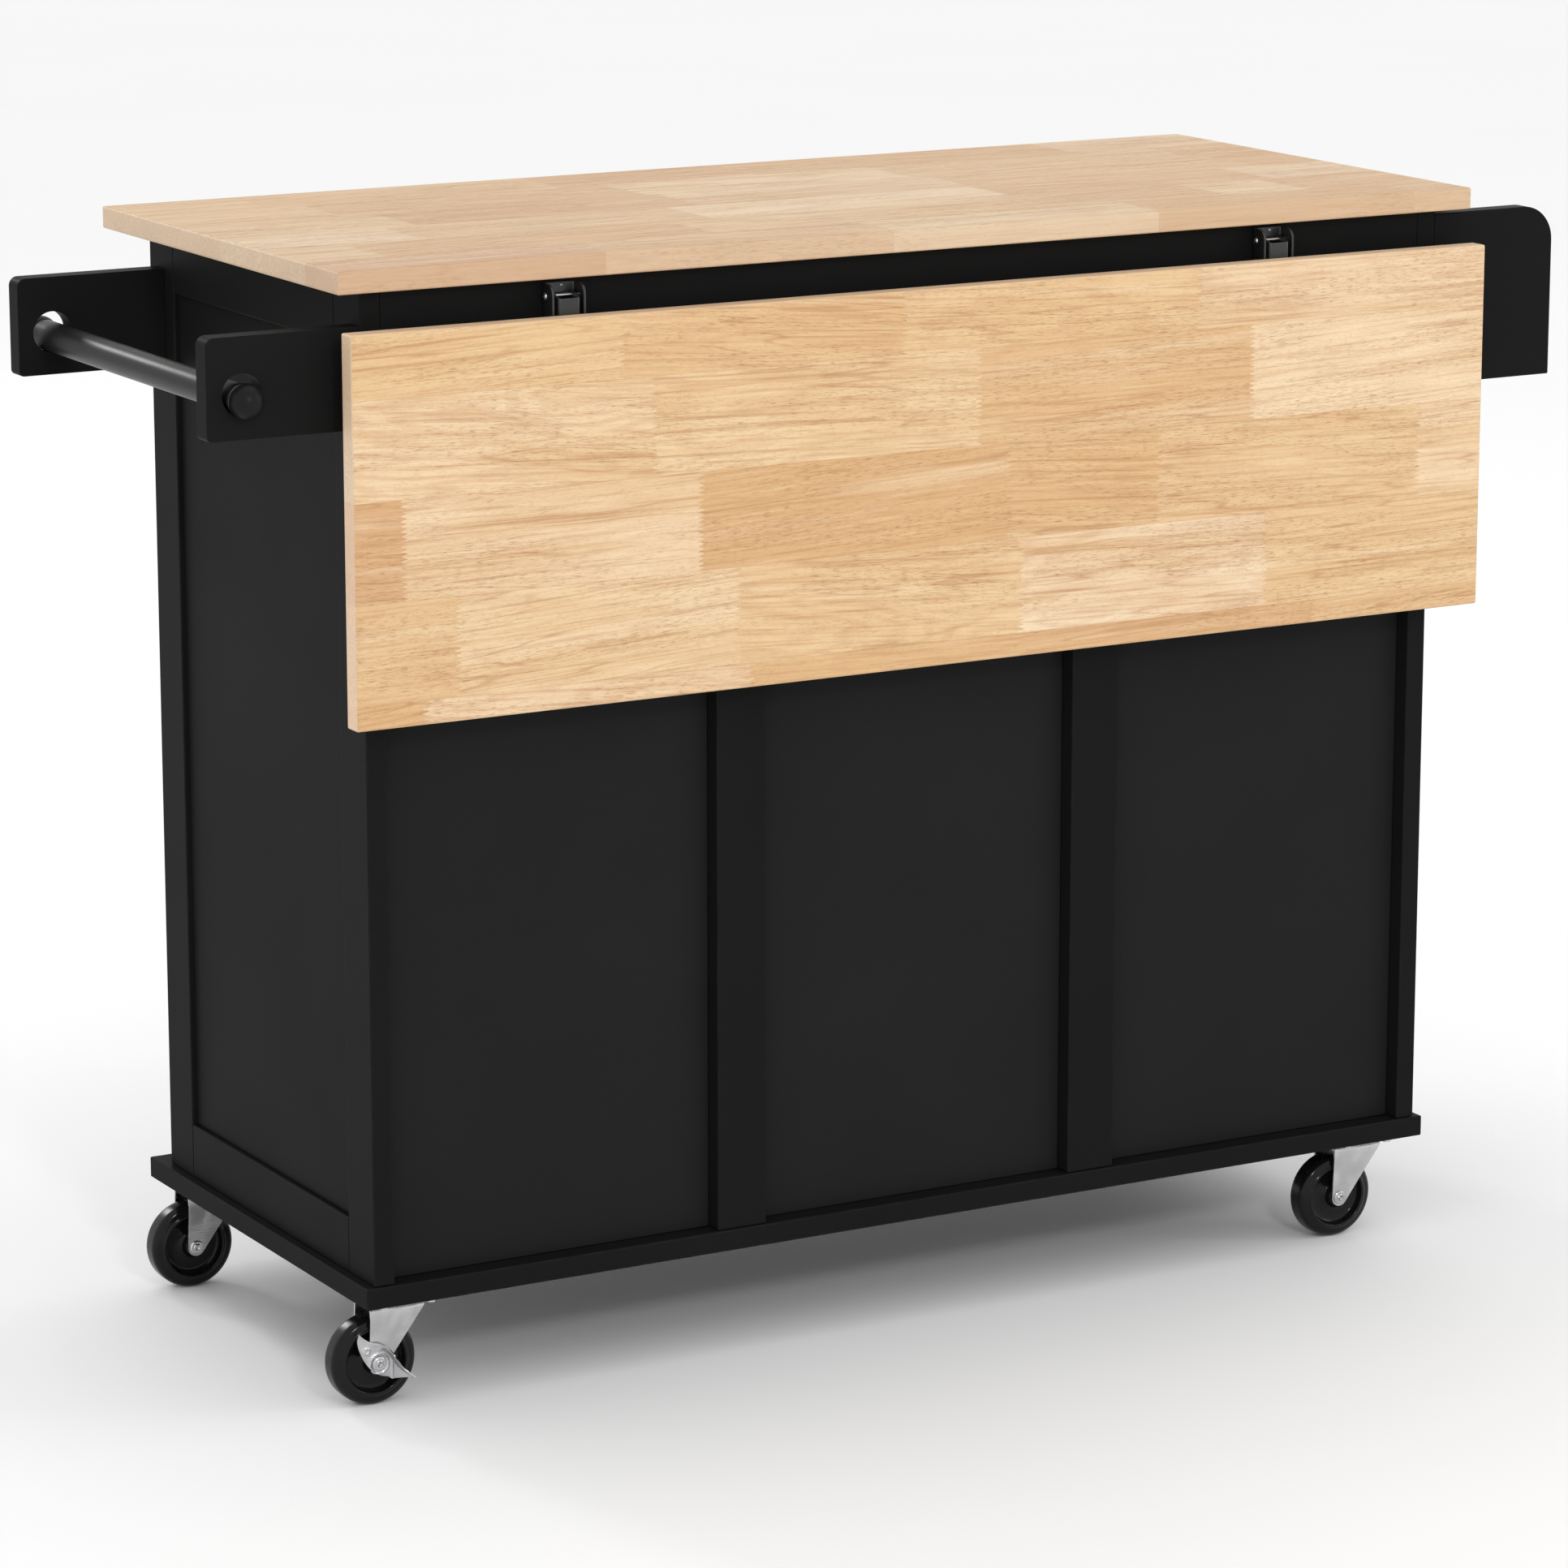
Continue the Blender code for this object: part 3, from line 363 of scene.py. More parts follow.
def jointed_wood(name, node, across_index, first_row, rows, painted_shade_factor):
    """Lacquered panel of staves along X, in rows stacked along one axis, with finger joints at their ends."""
    f = Finish(name, 0.42, specular=0.42)
    low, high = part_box(node)
    split = f.add("SeparateXYZ", Vector=f.place)
    x = split.outputs[0]
    across = split.outputs[across_index]
    through = split.outputs[3 - across_index]
    from_edge = f.math("SUBTRACT", across, low[across_index] + first_row)
    row = f.math("FLOOR", f.math("DIVIDE", from_edge, STAVE_ROW))
    fingers = f.times(f.math("PINGPONG", across, FINGER_PITCH / 2), FINGER_SLOPE)
    length = high.x - low.x
    along = f.math("DIVIDE", f.math("SUBTRACT", f.math("ADD", x, fingers), low.x), length)
    tone, tint, kind = stave_chances(f, rows, row, along, length)

    # Each stave has its own piece of grain: moved along and across, and leaning to its kind.
    lean = f.times(f.math("SUBTRACT", kind, 0.5), GRAIN_LEAN)
    moved_along = f.math("ADD", x, f.times(tone, 9.0))
    moved_across = f.total(across, f.times(x, lean), f.times(tint, 3.1))
    grain_place = f.vector(moved_along, moved_across, through)

    def grain(scales, detail=2.0, roughness=0.5):
        return f.stretched_noise(grain_place, scales, detail, roughness)

    fine = grain((11.0, 360.0, 360.0), 4.0, 0.65)
    bands = grain((1.8, 60.0, 60.0), 3.0, 0.6)
    broad = grain((3.5, 16.0, 16.0))
    waves = f.times(grain((2.2, 13.0, 13.0), 3.0, 0.55), f.remap(kind, 0.0, 1.0, 45.0, 120.0))
    rings = f.times(f.remap(f.math("SINE", waves), -0.6, 1.0), f.remap(kind, 0.25, 0.95, 0.35, 1.0))
    streaks = f.remap(grain((3.4, 230.0, 230.0), 4.0, 0.65), 0.56, 0.70)
    fleck_zones = f.remap(grain((6.0, 40.0, 40.0)), 0.36, 0.62)
    flecks = f.times(f.remap(grain((105.0, 1400.0, 1400.0)), 0.56, 0.68),
                    f.remap(fleck_zones, 0.0, 1.0, 0.22, 1.0))
    lines = f.math("PINGPONG", f.times(grain((1.7, 34.0, 34.0), 3.0), 9.0), 0.5)
    lines = f.times(f.remap(lines, 0.0, 0.10, 1.0, 0.0), f.remap(broad, 0.42, 0.60, 0.15, 1.0))
    speckle = f.remap(f.stretched_noise(f.place, (260.0, 700.0, 700.0), 2.0, 0.7), 0.50, 0.75)
    joint = f.remap(f.math("PINGPONG", from_edge, STAVE_ROW / 2), 0.0, STAVE_JOINT, 1.0, 0.0)
    base = f.layers(
        f.ramp(tone, ((0.0, CREAM), (0.36, HONEY), (0.72, TAN), (1.0, ROSE))),
        (f.remap(tint, 0.40, 1.0), 0.22, ROSE),
        (f.remap(broad, 0.42, 0.66), 0.42, TAN),
        (f.remap(bands, 0.50, 0.74), 0.48, TAN),
        (f.remap(bands, 0.46, 0.28), 0.40, CREAM),
        (rings, 0.34, ROSE),
        (f.remap(fine, 0.46, 0.72), 0.40, STREAK),
        (f.remap(fine, 0.46, 0.28), 0.30, CREAM),
        (lines, 0.44, STREAK),
        (streaks, 0.42, STREAK),
        (flecks, 0.50, PORE),
        (speckle, 0.22, STREAK),
        (joint, 0.22, STREAK))

    # End grain on the short edges, paler wood on the long ones, and a painted highlight that lightens the
    # rounded edges.
    facing = f.add("SeparateXYZ", Vector=f.add("TexCoord").outputs["Normal"])
    end_face = f.remap(f.math("ABSOLUTE", facing.outputs[0]), 0.55, 0.80)
    long_edge = f.remap(f.math("ABSOLUTE", facing.outputs[across_index]), 0.55, 0.80)
    growth = f.math("PINGPONG", f.times(grain((1.0, 42.0, 42.0)), 16.0), 0.5)
    pale = f.mix(tone, END_PALE, END_PINK)
    end_grain = f.layers(pale, (f.remap(growth, 0.0, 0.5), 0.35, TAN), (speckle, 0.25, STREAK))
    rounded, edge = f.round_edges(WOOD_EDGE)
    base = f.layers(base, (end_face, 1.0, end_grain), (long_edge, 0.55, pale), (edge, 0.25, CREAM))
    # Painted shade: the whole panel is darkened by this factor, so the upward-facing worktop (0.88) is darker
    # than the leaf (1.0).
    base = f.mix(1.0, base, grey(painted_shade_factor), "MULTIPLY")
    f.surface(base, f.total(f.remap(fine, 0.3, 0.7, 0.36, 0.50), f.times(flecks, 0.18)))
    hollows = f.math("ADD", flecks, f.times(joint, 0.5))
    f.bump(f.math("SUBTRACT", f.times(fine, 0.35), hollows), 0.00012, rounded)
    return f.material


def satin_paint(name, level, roughness, edge_radius, specular=0.022):
    """Black paint sprayed on board: faint orange peel, uneven sheen, and a painted highlight that makes the
    edges a little lighter.
    """
    f = Finish(name, roughness, specular=specular)
    clouds = f.noise(f.place, 7.0, 3.0)
    peel = f.noise(f.place, 620.0, 2.0)
    specks = f.remap(f.noise(f.place, 950.0, 1.0), 0.74, 0.80)
    rounded, edge = f.round_edges(edge_radius)
    dark = (level * 0.90, level * 0.90, level * 0.92, 1.0)
    light = (level * 1.15, level * 1.15, level * 1.13, 1.0)
    # Painted highlight: the rounded edges are lightened in patches.
    edge_highlight = f.times(edge, f.remap(f.noise(f.place, 55.0, 3.0), 0.35, 0.65, 0.25, 0.80))
    base = f.layers(f.mix(clouds, dark, light), (specks, 0.30, grey(0.040)), (edge_highlight, 1.0, PAINTED_EDGE_HIGHLIGHT))
    f.surface(base, f.total(f.remap(clouds, 0.3, 0.7, roughness - 0.025, roughness + 0.025),
                            f.remap(peel, 0.3, 0.7, -0.02, 0.02)))
    f.bump(peel, 0.000025, rounded)
    return f.material


def coated_steel(name):
    """Black coated sheet steel: a tighter sheen than the boards, with a painted highlight that brightens the
    edges.
    """
    f = Finish(name, 0.32, specular=0.5, coat=0.15)
    clouds = f.noise(f.place, 40.0, 3.0)
    rounded, edge = f.round_edges(0.0005)
    # Painted highlight: the rounded edges are brightened to grey in patches.
    steel_edge_highlight = f.times(edge, f.remap(f.noise(f.place, 240.0, 2.0), 0.3, 0.6, 0.3, 0.9))
    base = f.mix(clouds, (0.010, 0.010, 0.011, 1.0), grey(0.018))
    f.surface(f.layers(base, (steel_edge_highlight, 1.0, grey(0.16))), f.remap(clouds, 0.3, 0.7, 0.26, 0.38))
    f.bump(f.noise(f.place, 1400.0, 2.0), 0.00002, rounded)
    return f.material


def plated_metal(name, light, dark, roughness, brush):
    """Bright plated metal: cloudy plating, fine drawing lines and a few small scuffs."""
    f = Finish(name, roughness, metallic=1.0)
    clouds = f.noise(f.place, 38.0, 2.0, 0.5)
    lines = f.stretched_noise(f.place, brush)
    scuffs = f.remap(f.stretched_noise(f.place, (280.0, 280.0, 60.0)), 0.70, 0.78)
    base = f.layers(f.mix(f.remap(clouds, 0.3, 0.7), dark, light), (scuffs, 0.35, dark))
    f.surface(base, f.total(f.remap(clouds, 0.3, 0.7, roughness - 0.04, roughness + 0.05),
                            f.remap(lines, 0.3, 0.7, -0.03, 0.03), f.times(scuffs, 0.12)))
    f.bump(f.total(lines, f.times(clouds, 0.6)), 0.000008)
    return f.material


def wheel_plastic():
    """Glossy black moulded wheel, with a duller, slightly dusty tread."""
    f = Finish("wheel_plastic", 0.11, specular=0.20)
    clouds = f.noise(f.place, 60.0, 3.0)
    dust = f.remap(f.noise(f.place, 320.0, 3.0), 0.55, 0.75)
    facing = f.add("SeparateXYZ", Vector=f.add("NewGeometry").outputs["Normal"]).outputs[1]
    tread = f.remap(f.math("ABSOLUTE", facing), 0.62, 0.25)
    base = f.layers(f.mix(clouds, grey(0.004), grey(0.008)),
                    (f.times(dust, tread), 0.2, (0.05, 0.048, 0.045, 1.0)))
    f.surface(base, f.total(f.remap(clouds, 0.3, 0.7, 0.10, 0.16), f.times(tread, 0.12)))
    f.bump(f.math("ADD", f.noise(f.place, 700.0, 2.0), f.times(clouds, 2.0)), 0.000008)
    return f.material


def drawer_wood():
    """Plain pale softwood, with its grain along each board."""
    f = Finish("drawer_softwood", 0.62, specular=0.35)
    normal = f.add("SeparateXYZ", Vector=f.add("NewGeometry").outputs["Normal"])
    turned = f.remap(f.math("ABSOLUTE", normal.outputs[1]), 0.5, 0.6)
    pick = f.add("Mix", {"data_type": "VECTOR"})
    long_y = f.stretch(f.place, (230.0, 5.0, 230.0))
    long_x = f.stretch(f.place, (5.0, 230.0, 230.0))
    for index, value in ((0, turned), (4, long_y), (5, long_x)):
        f.feed(pick.inputs[index], value)
    grain = f.noise(pick.outputs[1], 1.0, 3.0, 0.6)
    bands = f.stretched_noise(pick.outputs[1], (0.16, 0.3, 0.16))
    base = f.mix(f.remap(bands, 0.35, 0.65), shade(233, 211, 172), shade(214, 183, 134))
    base = f.layers(base, (f.remap(grain, 0.45, 0.72), 0.45, shade(186, 146, 96)))
    f.surface(base, f.remap(grain, 0.3, 0.7, 0.55, 0.70))
    f.bump(grain, 0.00015)
    return f.material


def floor_finish():
    """Pale, matt studio floor."""
    f = Finish("studio_floor", 0.75, specular=0.2)
    clouds = f.noise(f.place, 1.3, 3.0)
    f.surface(f.mix(clouds, grey(0.92), grey(0.94)), f.remap(clouds, 0.3, 0.7, 0.7, 0.8))
    return f.material


def make_finishes():
    zinc_light, zinc_dark = (0.62, 0.62, 0.63, 1.0), (0.45, 0.45, 0.46, 1.0)
    nickel_light, nickel_dark = (0.70, 0.67, 0.63, 1.0), (0.52, 0.50, 0.47, 1.0)
    return {
        "worktop_wood": jointed_wood("worktop_wood", "top_board", 1, TOP_FIRST_ROW, TOP_STAVES, 0.88),
        "leaf_wood": jointed_wood("leaf_wood", "drop_leaf", 2, LEAF_FIRST_ROW, LEAF_STAVES, 1.0),
        "black_paint": satin_paint("satin_black_paint", 0.0105, 0.46, 0.0010),
        "panel_paint": satin_paint("satin_black_panel_paint", 0.0160, 0.46, 0.0010),
        "bar_paint": satin_paint("semi_gloss_black_bar_paint", 0.0075, 0.36, 0.0006, 0.13),
        "black_steel": coated_steel("black_coated_steel"),
        "zinc": plated_metal("zinc_plate", zinc_light, zinc_dark, 0.24, (40.0, 40.0, 900.0)),
        "wheel_black": wheel_plastic(),
        "drawer_wood": drawer_wood(),
        "nickel": plated_metal("satin_nickel", nickel_light, nickel_dark, 0.27, (700.0, 60.0, 700.0)),
        "floor": floor_finish(),
    }


# ---- shapes
SOFT_ANGLE = math.radians(50)
QUARTERS = ((1, 1), (-1, 1), (-1, -1), (1, -1))
SCREW_PATTERN = 0.0036
CROSS_START = 0.0003
CROSS_END = 0.0023
CROSS_DEPTH = 0.0007


def make_piece(name, bm, slot, body, replaces=(), sharp=38):
    """Turns a bmesh into a shown piece that rides on a body and takes its finish from a slot."""
    bmesh.ops.remove_doubles(bm, verts=bm.verts, dist=0.000004)
    mesh = bpy.data.meshes.new(name)
    bm.to_mesh(mesh)
    bm.free()
    mesh.materials.append(FINISHES[slot])
    mesh.shade_smooth()
    mesh.set_sharp_from_angle(angle=math.radians(sharp))
    piece = add_object(name, mesh)
    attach(piece, body)
    if replaces:
        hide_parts(*replaces)
    return piece


def arc(centre, radius, start_deg, end_deg, steps):
    """Points on an arc, both ends included."""
    angles = [math.radians(start_deg + (end_deg - start_deg) * i / steps) for i in range(steps + 1)]
    return [(centre[0] + radius * math.cos(a), centre[1] + radius * math.sin(a)) for a in angles]


def add_lathe(bm, profile, centre, axis, steps, shape=None, closed=False):
    """Turns a profile of (radius, height) pairs about an axis; shape can change a point's height."""
    side = axis.orthogonal().normalized()
    other = axis.cross(side)
    rings = []
    for radius, height in profile:
        ring = []
        for i in range(steps if radius > 1e-7 else 1):
            angle = 2 * math.pi * i / steps
            level = shape(radius, angle, height) if shape else height
            out = side * math.cos(angle) + other * math.sin(angle)
            ring.append(bm.verts.new(centre + axis * level + out * radius))
        rings.append(ring)
    pairs = list(zip(rings, rings[1:])) + ([(rings[-1], rings[0])] if closed else [])
    faces = []
    for first, second in pairs:
        for i in range(steps):
            j = (i + 1) % steps
            corners = [first[i % len(first)], first[j % len(first)],
                       second[j % len(second)], second[i % len(second)]]
            unique = list(dict.fromkeys(corners))
            if len(unique) > 2:
                faces.append(bm.faces.new(unique))
    bmesh.ops.recalc_face_normals(bm, faces=faces)


def add_soft_box(bm, corner, opposite, edge, segments=2):
    """A box with rounded edges, between two opposite corners in any order."""
    low = Vector([min(pair) for pair in zip(corner, opposite)])
    high = Vector([max(pair) for pair in zip(corner, opposite)])
    made = bmesh.ops.create_cube(bm, size=1.0)["verts"]
    bmesh.ops.scale(bm, vec=high - low, verts=made)
    bmesh.ops.translate(bm, vec=(low + high) / 2, verts=made)
    edges = list({e for v in made for e in v.link_edges})
    bmesh.ops.bevel(bm, geom=edges, offset=edge, segments=segments, profile=0.5, affect="EDGES")


def plate_bmesh(loops, thickness, matrix):
    """A flat outline in XY, with any holes as further loops, extruded evenly about z = 0."""
    curve = bpy.data.curves.new("outline", "CURVE")
    curve.dimensions = "2D"
    curve.fill_mode = "BOTH"
    curve.extrude = thickness / 2
    for loop in loops:
        spline = curve.splines.new("POLY")
        spline.points.add(len(loop) - 1)
        for point, (x, y) in zip(spline.points, loop):
            point.co = (x, y, 0, 1)
        spline.use_cyclic_u = True
    holder = add_object("outline", curve)
    graph = bpy.context.evaluated_depsgraph_get()
    graph.update()
    mesh = bpy.data.meshes.new_from_object(holder.evaluated_get(graph), depsgraph=graph)
    bpy.data.objects.remove(holder, do_unlink=True)
    bm = bmesh.new()
    bm.from_mesh(mesh)
    bpy.data.meshes.remove(mesh)
    bmesh.ops.remove_doubles(bm, verts=bm.verts, dist=0.00001)
    bmesh.ops.transform(bm, matrix=matrix, verts=bm.verts)
    bmesh.ops.recalc_face_normals(bm, faces=bm.faces)
    return bm


def soften(piece, width, segments):
    """Rounds the piece's sharp edges."""
    bevel = piece.modifiers.new("soft_edges", "BEVEL")
    bevel.width = width
    bevel.segments = segments
    bevel.limit_method = "ANGLE"
    bevel.angle_limit = SOFT_ANGLE


def thicken(piece, thickness):
    """Gives a sheet its thickness, behind its modelled face."""
    shell = piece.modifiers.new("sheet", "SOLIDIFY")
    shell.thickness = thickness
    shell.offset = -1.0


def folded_path(half, depth, bend, end_radius):
    """A U section from one cheek's edge over the web to the other's, as (sideways, depth) points.

    Its points crowd towards the cheeks' edges, over the last end_radius, where outlines are round.
    """
    crowd = [depth - end_radius * (1 - math.cos(math.radians(a))) for a in range(0, 91, 10)]
    plain = [bend + (depth - end_radius - bend) * i / 6 for i in range(6)]
    cheek = sorted(set(plain + crowd))
    corner = arc((half - bend, bend), bend, 0, -90, 6)
    web = [(half - bend - (half - bend) * 2 * i / 8, 0.0) for i in range(1, 8)]
    right = [(half, d) for d in reversed(cheek) if d > bend + 1e-6] + corner
    left = [(-s, d) for s, d in reversed(right)]
    return right + web + left


def add_folded_sheet(bm, path, low, high, rows, origin, sideways, inward, along, flare=None):
    """A folded sheet's outer face: low and high give its extent along the fold at each depth.

    flare moves a point of a cheek outwards, from its depth and its share of the way along.
    """
    columns = []
    for side, depth in path:
        start, end = low(depth), high(depth)
        column = []
        for i in range(rows + 1):
            out = math.copysign(flare(depth, i / rows), side) if flare and depth > 0 else 0.0
            column.append(bm.verts.new(origin + sideways * (side + out) + inward * depth
                                       + along * (start + (end - start) * i / rows)))
        columns.append(column)
    faces = join_columns(bm, columns)
    web = faces[len(faces) // 2]
    web.normal_update()
    if web.normal.dot(inward) > 0:
        bmesh.ops.reverse_faces(bm, faces=faces)


def cornered_outline(low, high, radii, steps):
    """A flat outline between two corners, anticlockwise from top right, rounded where radii say so."""
    points = []
    for quarter, (sx, sy) in enumerate(QUARTERS):
        radius = radii.get((sx, sy), 0.0)
        x = (high if sx > 0 else low)[0] - sx * radius
        y = (high if sy > 0 else low)[1] - sy * radius
        points += arc((x, y), radius, 90 * quarter, 90 * quarter + 90, steps) if radius > 0 else [(x, y)]
    return points


def join_columns(bm, columns):
    """Faces between neighbouring columns of vertices."""
    return [bm.faces.new(corners) for first, second in zip(columns, columns[1:])
            for corners in zip(first, second, second[1:], first[1:])]


def mirrored(profile):
    """A lathe profile followed by its mirror image, for a shape that is the same at both ends."""
    return profile + [(radius, -height) for radius, height in reversed(profile)]


def smooth_step(value, low, high):
    """An even rise from 0 at low to 1 at high."""
    share = max(0.0, min(1.0, (value - low) / (high - low)))
    return share * share * (3 - 2 * share)


def round_end(distance, radius):
    """How far a round corner of this radius falls back at a distance from its start."""
    if distance <= 0:
        return 0.0
    return radius - math.sqrt(max(0.0, radius * radius - min(distance, radius) ** 2))


def stamped_cross(radius, angle, height):
    """A cross recess stamped into a rivet or screw head."""
    near_arm = abs(math.sin(2 * angle)) < 0.62
    return height - (CROSS_DEPTH if CROSS_START < radius < CROSS_END and near_arm else 0.0)


def add_screw_head(bm, centre, axis, radius, height):
    """A pan head with a stamped cross, standing on a surface."""
    scale = radius / SCREW_PATTERN
    profile = [(0.0, height * 0.70), (0.0008 * scale, height * 0.72), (0.0016 * scale, height * 0.98),
               (0.0022 * scale, height), (0.0029 * scale, height * 0.90), (0.0034 * scale, height * 0.62),
               (radius, height * 0.25), (radius * 0.98, 0.0), (0.0, 0.0)]
    add_lathe(bm, profile, centre, axis, 32, stamped_cross)


# ---- casters
def wheel_profile(radius, half):
    """Half section from the hub's outer end to the tread's middle: hub, dished disc, beaded rim, crown."""
    bore = 0.0045
    hub = [(bore, half + 0.0005), (0.0078, half + 0.0005), (0.0086, half - 0.0003)]
    disc = [(0.0092, 0.0074), (0.0106, 0.0060), (0.0135, 0.0050), (0.0180, 0.0045), (0.0225, 0.0046)]
    rim = [(0.0248, 0.0054), (0.0258, 0.0072), (0.0263, 0.0098)]
    bead = arc((0.0280, half - 0.0017), 0.0017, 172, 40, 9)
    flank = [(0.0298, half - 0.0010), (0.0312, half - 0.0014)]
    crown = arc((radius - 0.0062, half - 0.0078), 0.0062, 72, 0, 10)
    return hub + disc + rim + bead + flank + crown + [(radius, 0.0010)]


def build_wheel(corner):
    low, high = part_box(f"{corner}_wheel")
    centre = (low + high) / 2
    half = (high.y - low.y) / 2 - 0.0005
    profile = mirrored(wheel_profile((high.z - low.z) / 2, half))
    bm = bmesh.new()
    add_lathe(bm, profile, centre, Y_AXIS, 112, closed=True)
    make_piece(f"{corner}_wheel_moulding", bm, "wheel_black", f"{corner}_wheel", [f"{corner}_wheel"], 50)
    return centre


def build_axle(corner, axle):
    """Riveted axle, with a recessed head on each side; one of them stands on the lever if there is one."""
    ends = {-1: FORK_HALF, 1: FORK_HALF}
    if corner in BRAKE_SIDES:
        ends[BRAKE_SIDES[corner]] += LEVER_SHEET + 0.0006
    rod = [(0.0, ends[1]), (0.0042, ends[1]), (0.0042, -ends[-1]), (0.0, -ends[-1])]
    head = [(0.0, 0.0013), (0.0009, 0.0013), (0.0017, 0.0021), (0.0025, 0.0022), (0.0030, 0.0017),
            (0.0036, 0.0015), (0.0044, 0.0018), (0.0054, 0.0016), (0.0061, 0.0009), (0.0062, 0.0), (0.0, 0.0)]
    bm = bmesh.new()
    add_lathe(bm, rod, axle, Y_AXIS, 32)
    for side, reach in ends.items():
        add_lathe(bm, head, axle + Y_AXIS * side * reach, Y_AXIS * side, 40, stamped_cross)
    make_piece(f"{corner}_axle_rivet", bm, "zinc", f"{corner}_fork")


def build_fork(corner, axle, swivel):
    """Pressed fork: its crown, and two cheeks that taper to round toes."""
    trail = axle.x - swivel.x
    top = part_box(f"{corner}_caster_fork")[1].z
    crown = top - FORK_CROWN_DROP
    depth_end = crown - (axle.z - FORK_TOE)
    slant = math.atan2(crown - axle.z, FORK_NOSE - trail - FORK_TOE)
    touch = axle.z - FORK_TOE * math.cos(slant)
    touch_x = trail + FORK_TOE * math.sin(slant)

    def toe_width(z):
        return math.sqrt(max(0.0, FORK_TOE ** 2 - (z - axle.z) ** 2))

    def back(depth):
        z = crown - depth
        if z < axle.z:
            return trail - toe_width(z)
        share = (z - axle.z) / (crown - axle.z)
        return trail - FORK_TOE + share * (FORK_TOE - trail - FORK_BACK)

    def nose(depth):
        z = crown - depth
        if z < touch:
            return trail + toe_width(z)
        share = (z - touch) / (crown - FORK_NOSE_DROP - touch)
        return touch_x + min(share, 1.0) * (FORK_NOSE - touch_x)

    bm = bmesh.new()
    path = folded_path(FORK_HALF, depth_end, FORK_BEND, FORK_TOE)
    origin = Vector((swivel.x, swivel.y, crown))

    def flare(depth, share):
        """The cheek's front half stands out towards the crown and runs level at the toe."""
        rise = smooth_step(depth, 0.036, 0.008)
        return FORK_FLARE * rise * (smooth_step(share, 0.38, 0.62) - 0.7 * smooth_step(share, 0.78, 1.0))

    add_folded_sheet(bm, path, back, nose, 28, origin, Y_AXIS, -Z_AXIS, X_AXIS, flare)
    shell = make_piece(f"{corner}_fork_pressing", bm, "zinc", f"{corner}_fork", [f"{corner}_caster_fork"], 60)
    thicken(shell, FORK_SHEET)
    soften(shell, 0.00045, 2)
    build_axle(corner, axle)
    build_ball_race(corner, origin)


def build_ball_race(corner, origin):
    """The race between fork and plate, and the head of the king pin under the crown."""
    rise = FORK_CROWN_DROP
    race = [(0.0, rise), (0.0120, rise), (0.0126, rise - 0.0006), (0.0152, rise - 0.0008),
            (0.0154, rise - 0.0013), (RACE_RADIUS - 0.0010, rise - 0.0013), (RACE_RADIUS, rise - 0.0018),
            (RACE_RADIUS, -0.0002), (0.0, -0.0002)]
    pin = [(0.0, -FORK_SHEET - 0.0024), (0.0030, -FORK_SHEET - 0.0023), (0.0050, -FORK_SHEET - 0.0014),
           (0.0056, -FORK_SHEET), (0.0, -FORK_SHEET)]
    bm = bmesh.new()
    add_lathe(bm, race, origin, Z_AXIS, 64)
    add_lathe(bm, pin, origin, Z_AXIS, 32)
    make_piece(f"{corner}_ball_race", bm, "zinc", f"{corner}_fork")


def smooth_curve(points, count):
    """Points along a smooth curve through the given ones."""
    ends = [points[0]] + list(points) + [points[-1]]
    result = []
    for i in range(count + 1):
        place = (len(points) - 1) * i / count
        k = min(int(place), len(points) - 2)
        t = place - k
        a, b, c, d = (Vector(ends[k + n]) for n in range(4))
        result.append(0.5 * (2 * b + (c - a) * t + (2 * a - 5 * b + 4 * c - d) * t * t
                             + (3 * b - a - 3 * c + d) * t ** 3))
    return result


def ridge(offset, width, height):
    """How far a rounded ridge stands out at an offset from its line."""
    return height * math.exp(-(offset / width) ** 2)


def lever_relief(point, share, across):
    """How far the stamping stands out at a point of the wing, round the axle at the origin."""
    ring = ridge(point.length - 0.0084, 0.0007, 0.0015)
    dome = ridge((point - LEVER_DOME).length, 0.0016, 0.0013)
    boss = ridge((point - LEVER_BOSS).length - 0.0024, 0.0007, 0.0014)
    crease = ridge(point.x - 0.0118, 0.0008, 0.0013)
    roll = smooth_step(across, 0.80, 1.0) * smooth_step(share, 0.18, 0.55) * 0.0046
    tip = smooth_step(share, 0.72, 1.0) * 0.0016
    return ring + dome + boss + crease + roll + tip


def build_lever(corner, axle):
    """Stamped brake lever: a wing round the axle, embossed, with its upper edge rolled outwards."""
    side = BRAKE_SIDES[corner]
    count, rows = 64, 30
    lower, upper = smooth_curve(LEVER_BELLY, count), smooth_curve(LEVER_CREST, count)

    bm = bmesh.new()
    columns = []
    face_y = axle.y + side * (FORK_HALF + 0.0004 + LEVER_SHEET)
    for i in range(count + 1):
        column = []
        for j in range(rows + 1):
            across = j / rows
            point = lower[i].lerp(upper[i], across)
            out = lever_relief(point, i / count, across)
            column.append(bm.verts.new((axle.x + point.x, face_y + side * out, axle.z + point.y)))
        columns.append(column)
    faces = join_columns(bm, columns)
    flat = Vector((1, 0, 1))
    inside = [face for face in faces if ((face.calc_center_median() - axle) * flat).length < 0.0044]
    bmesh.ops.delete(bm, geom=inside, context="FACES")
    bm.faces.ensure_lookup_table()
    bm.faces[0].normal_update()
    if bm.faces[0].normal.y * side < 0:
        bmesh.ops.reverse_faces(bm, faces=bm.faces)
    name = f"{corner}_brake_lever"
    lever = make_piece(f"{name}_stamping", bm, "zinc", f"{corner}_lever", [name], 60)
    thicken(lever, LEVER_SHEET)
    soften(lever, 0.0003, 2)


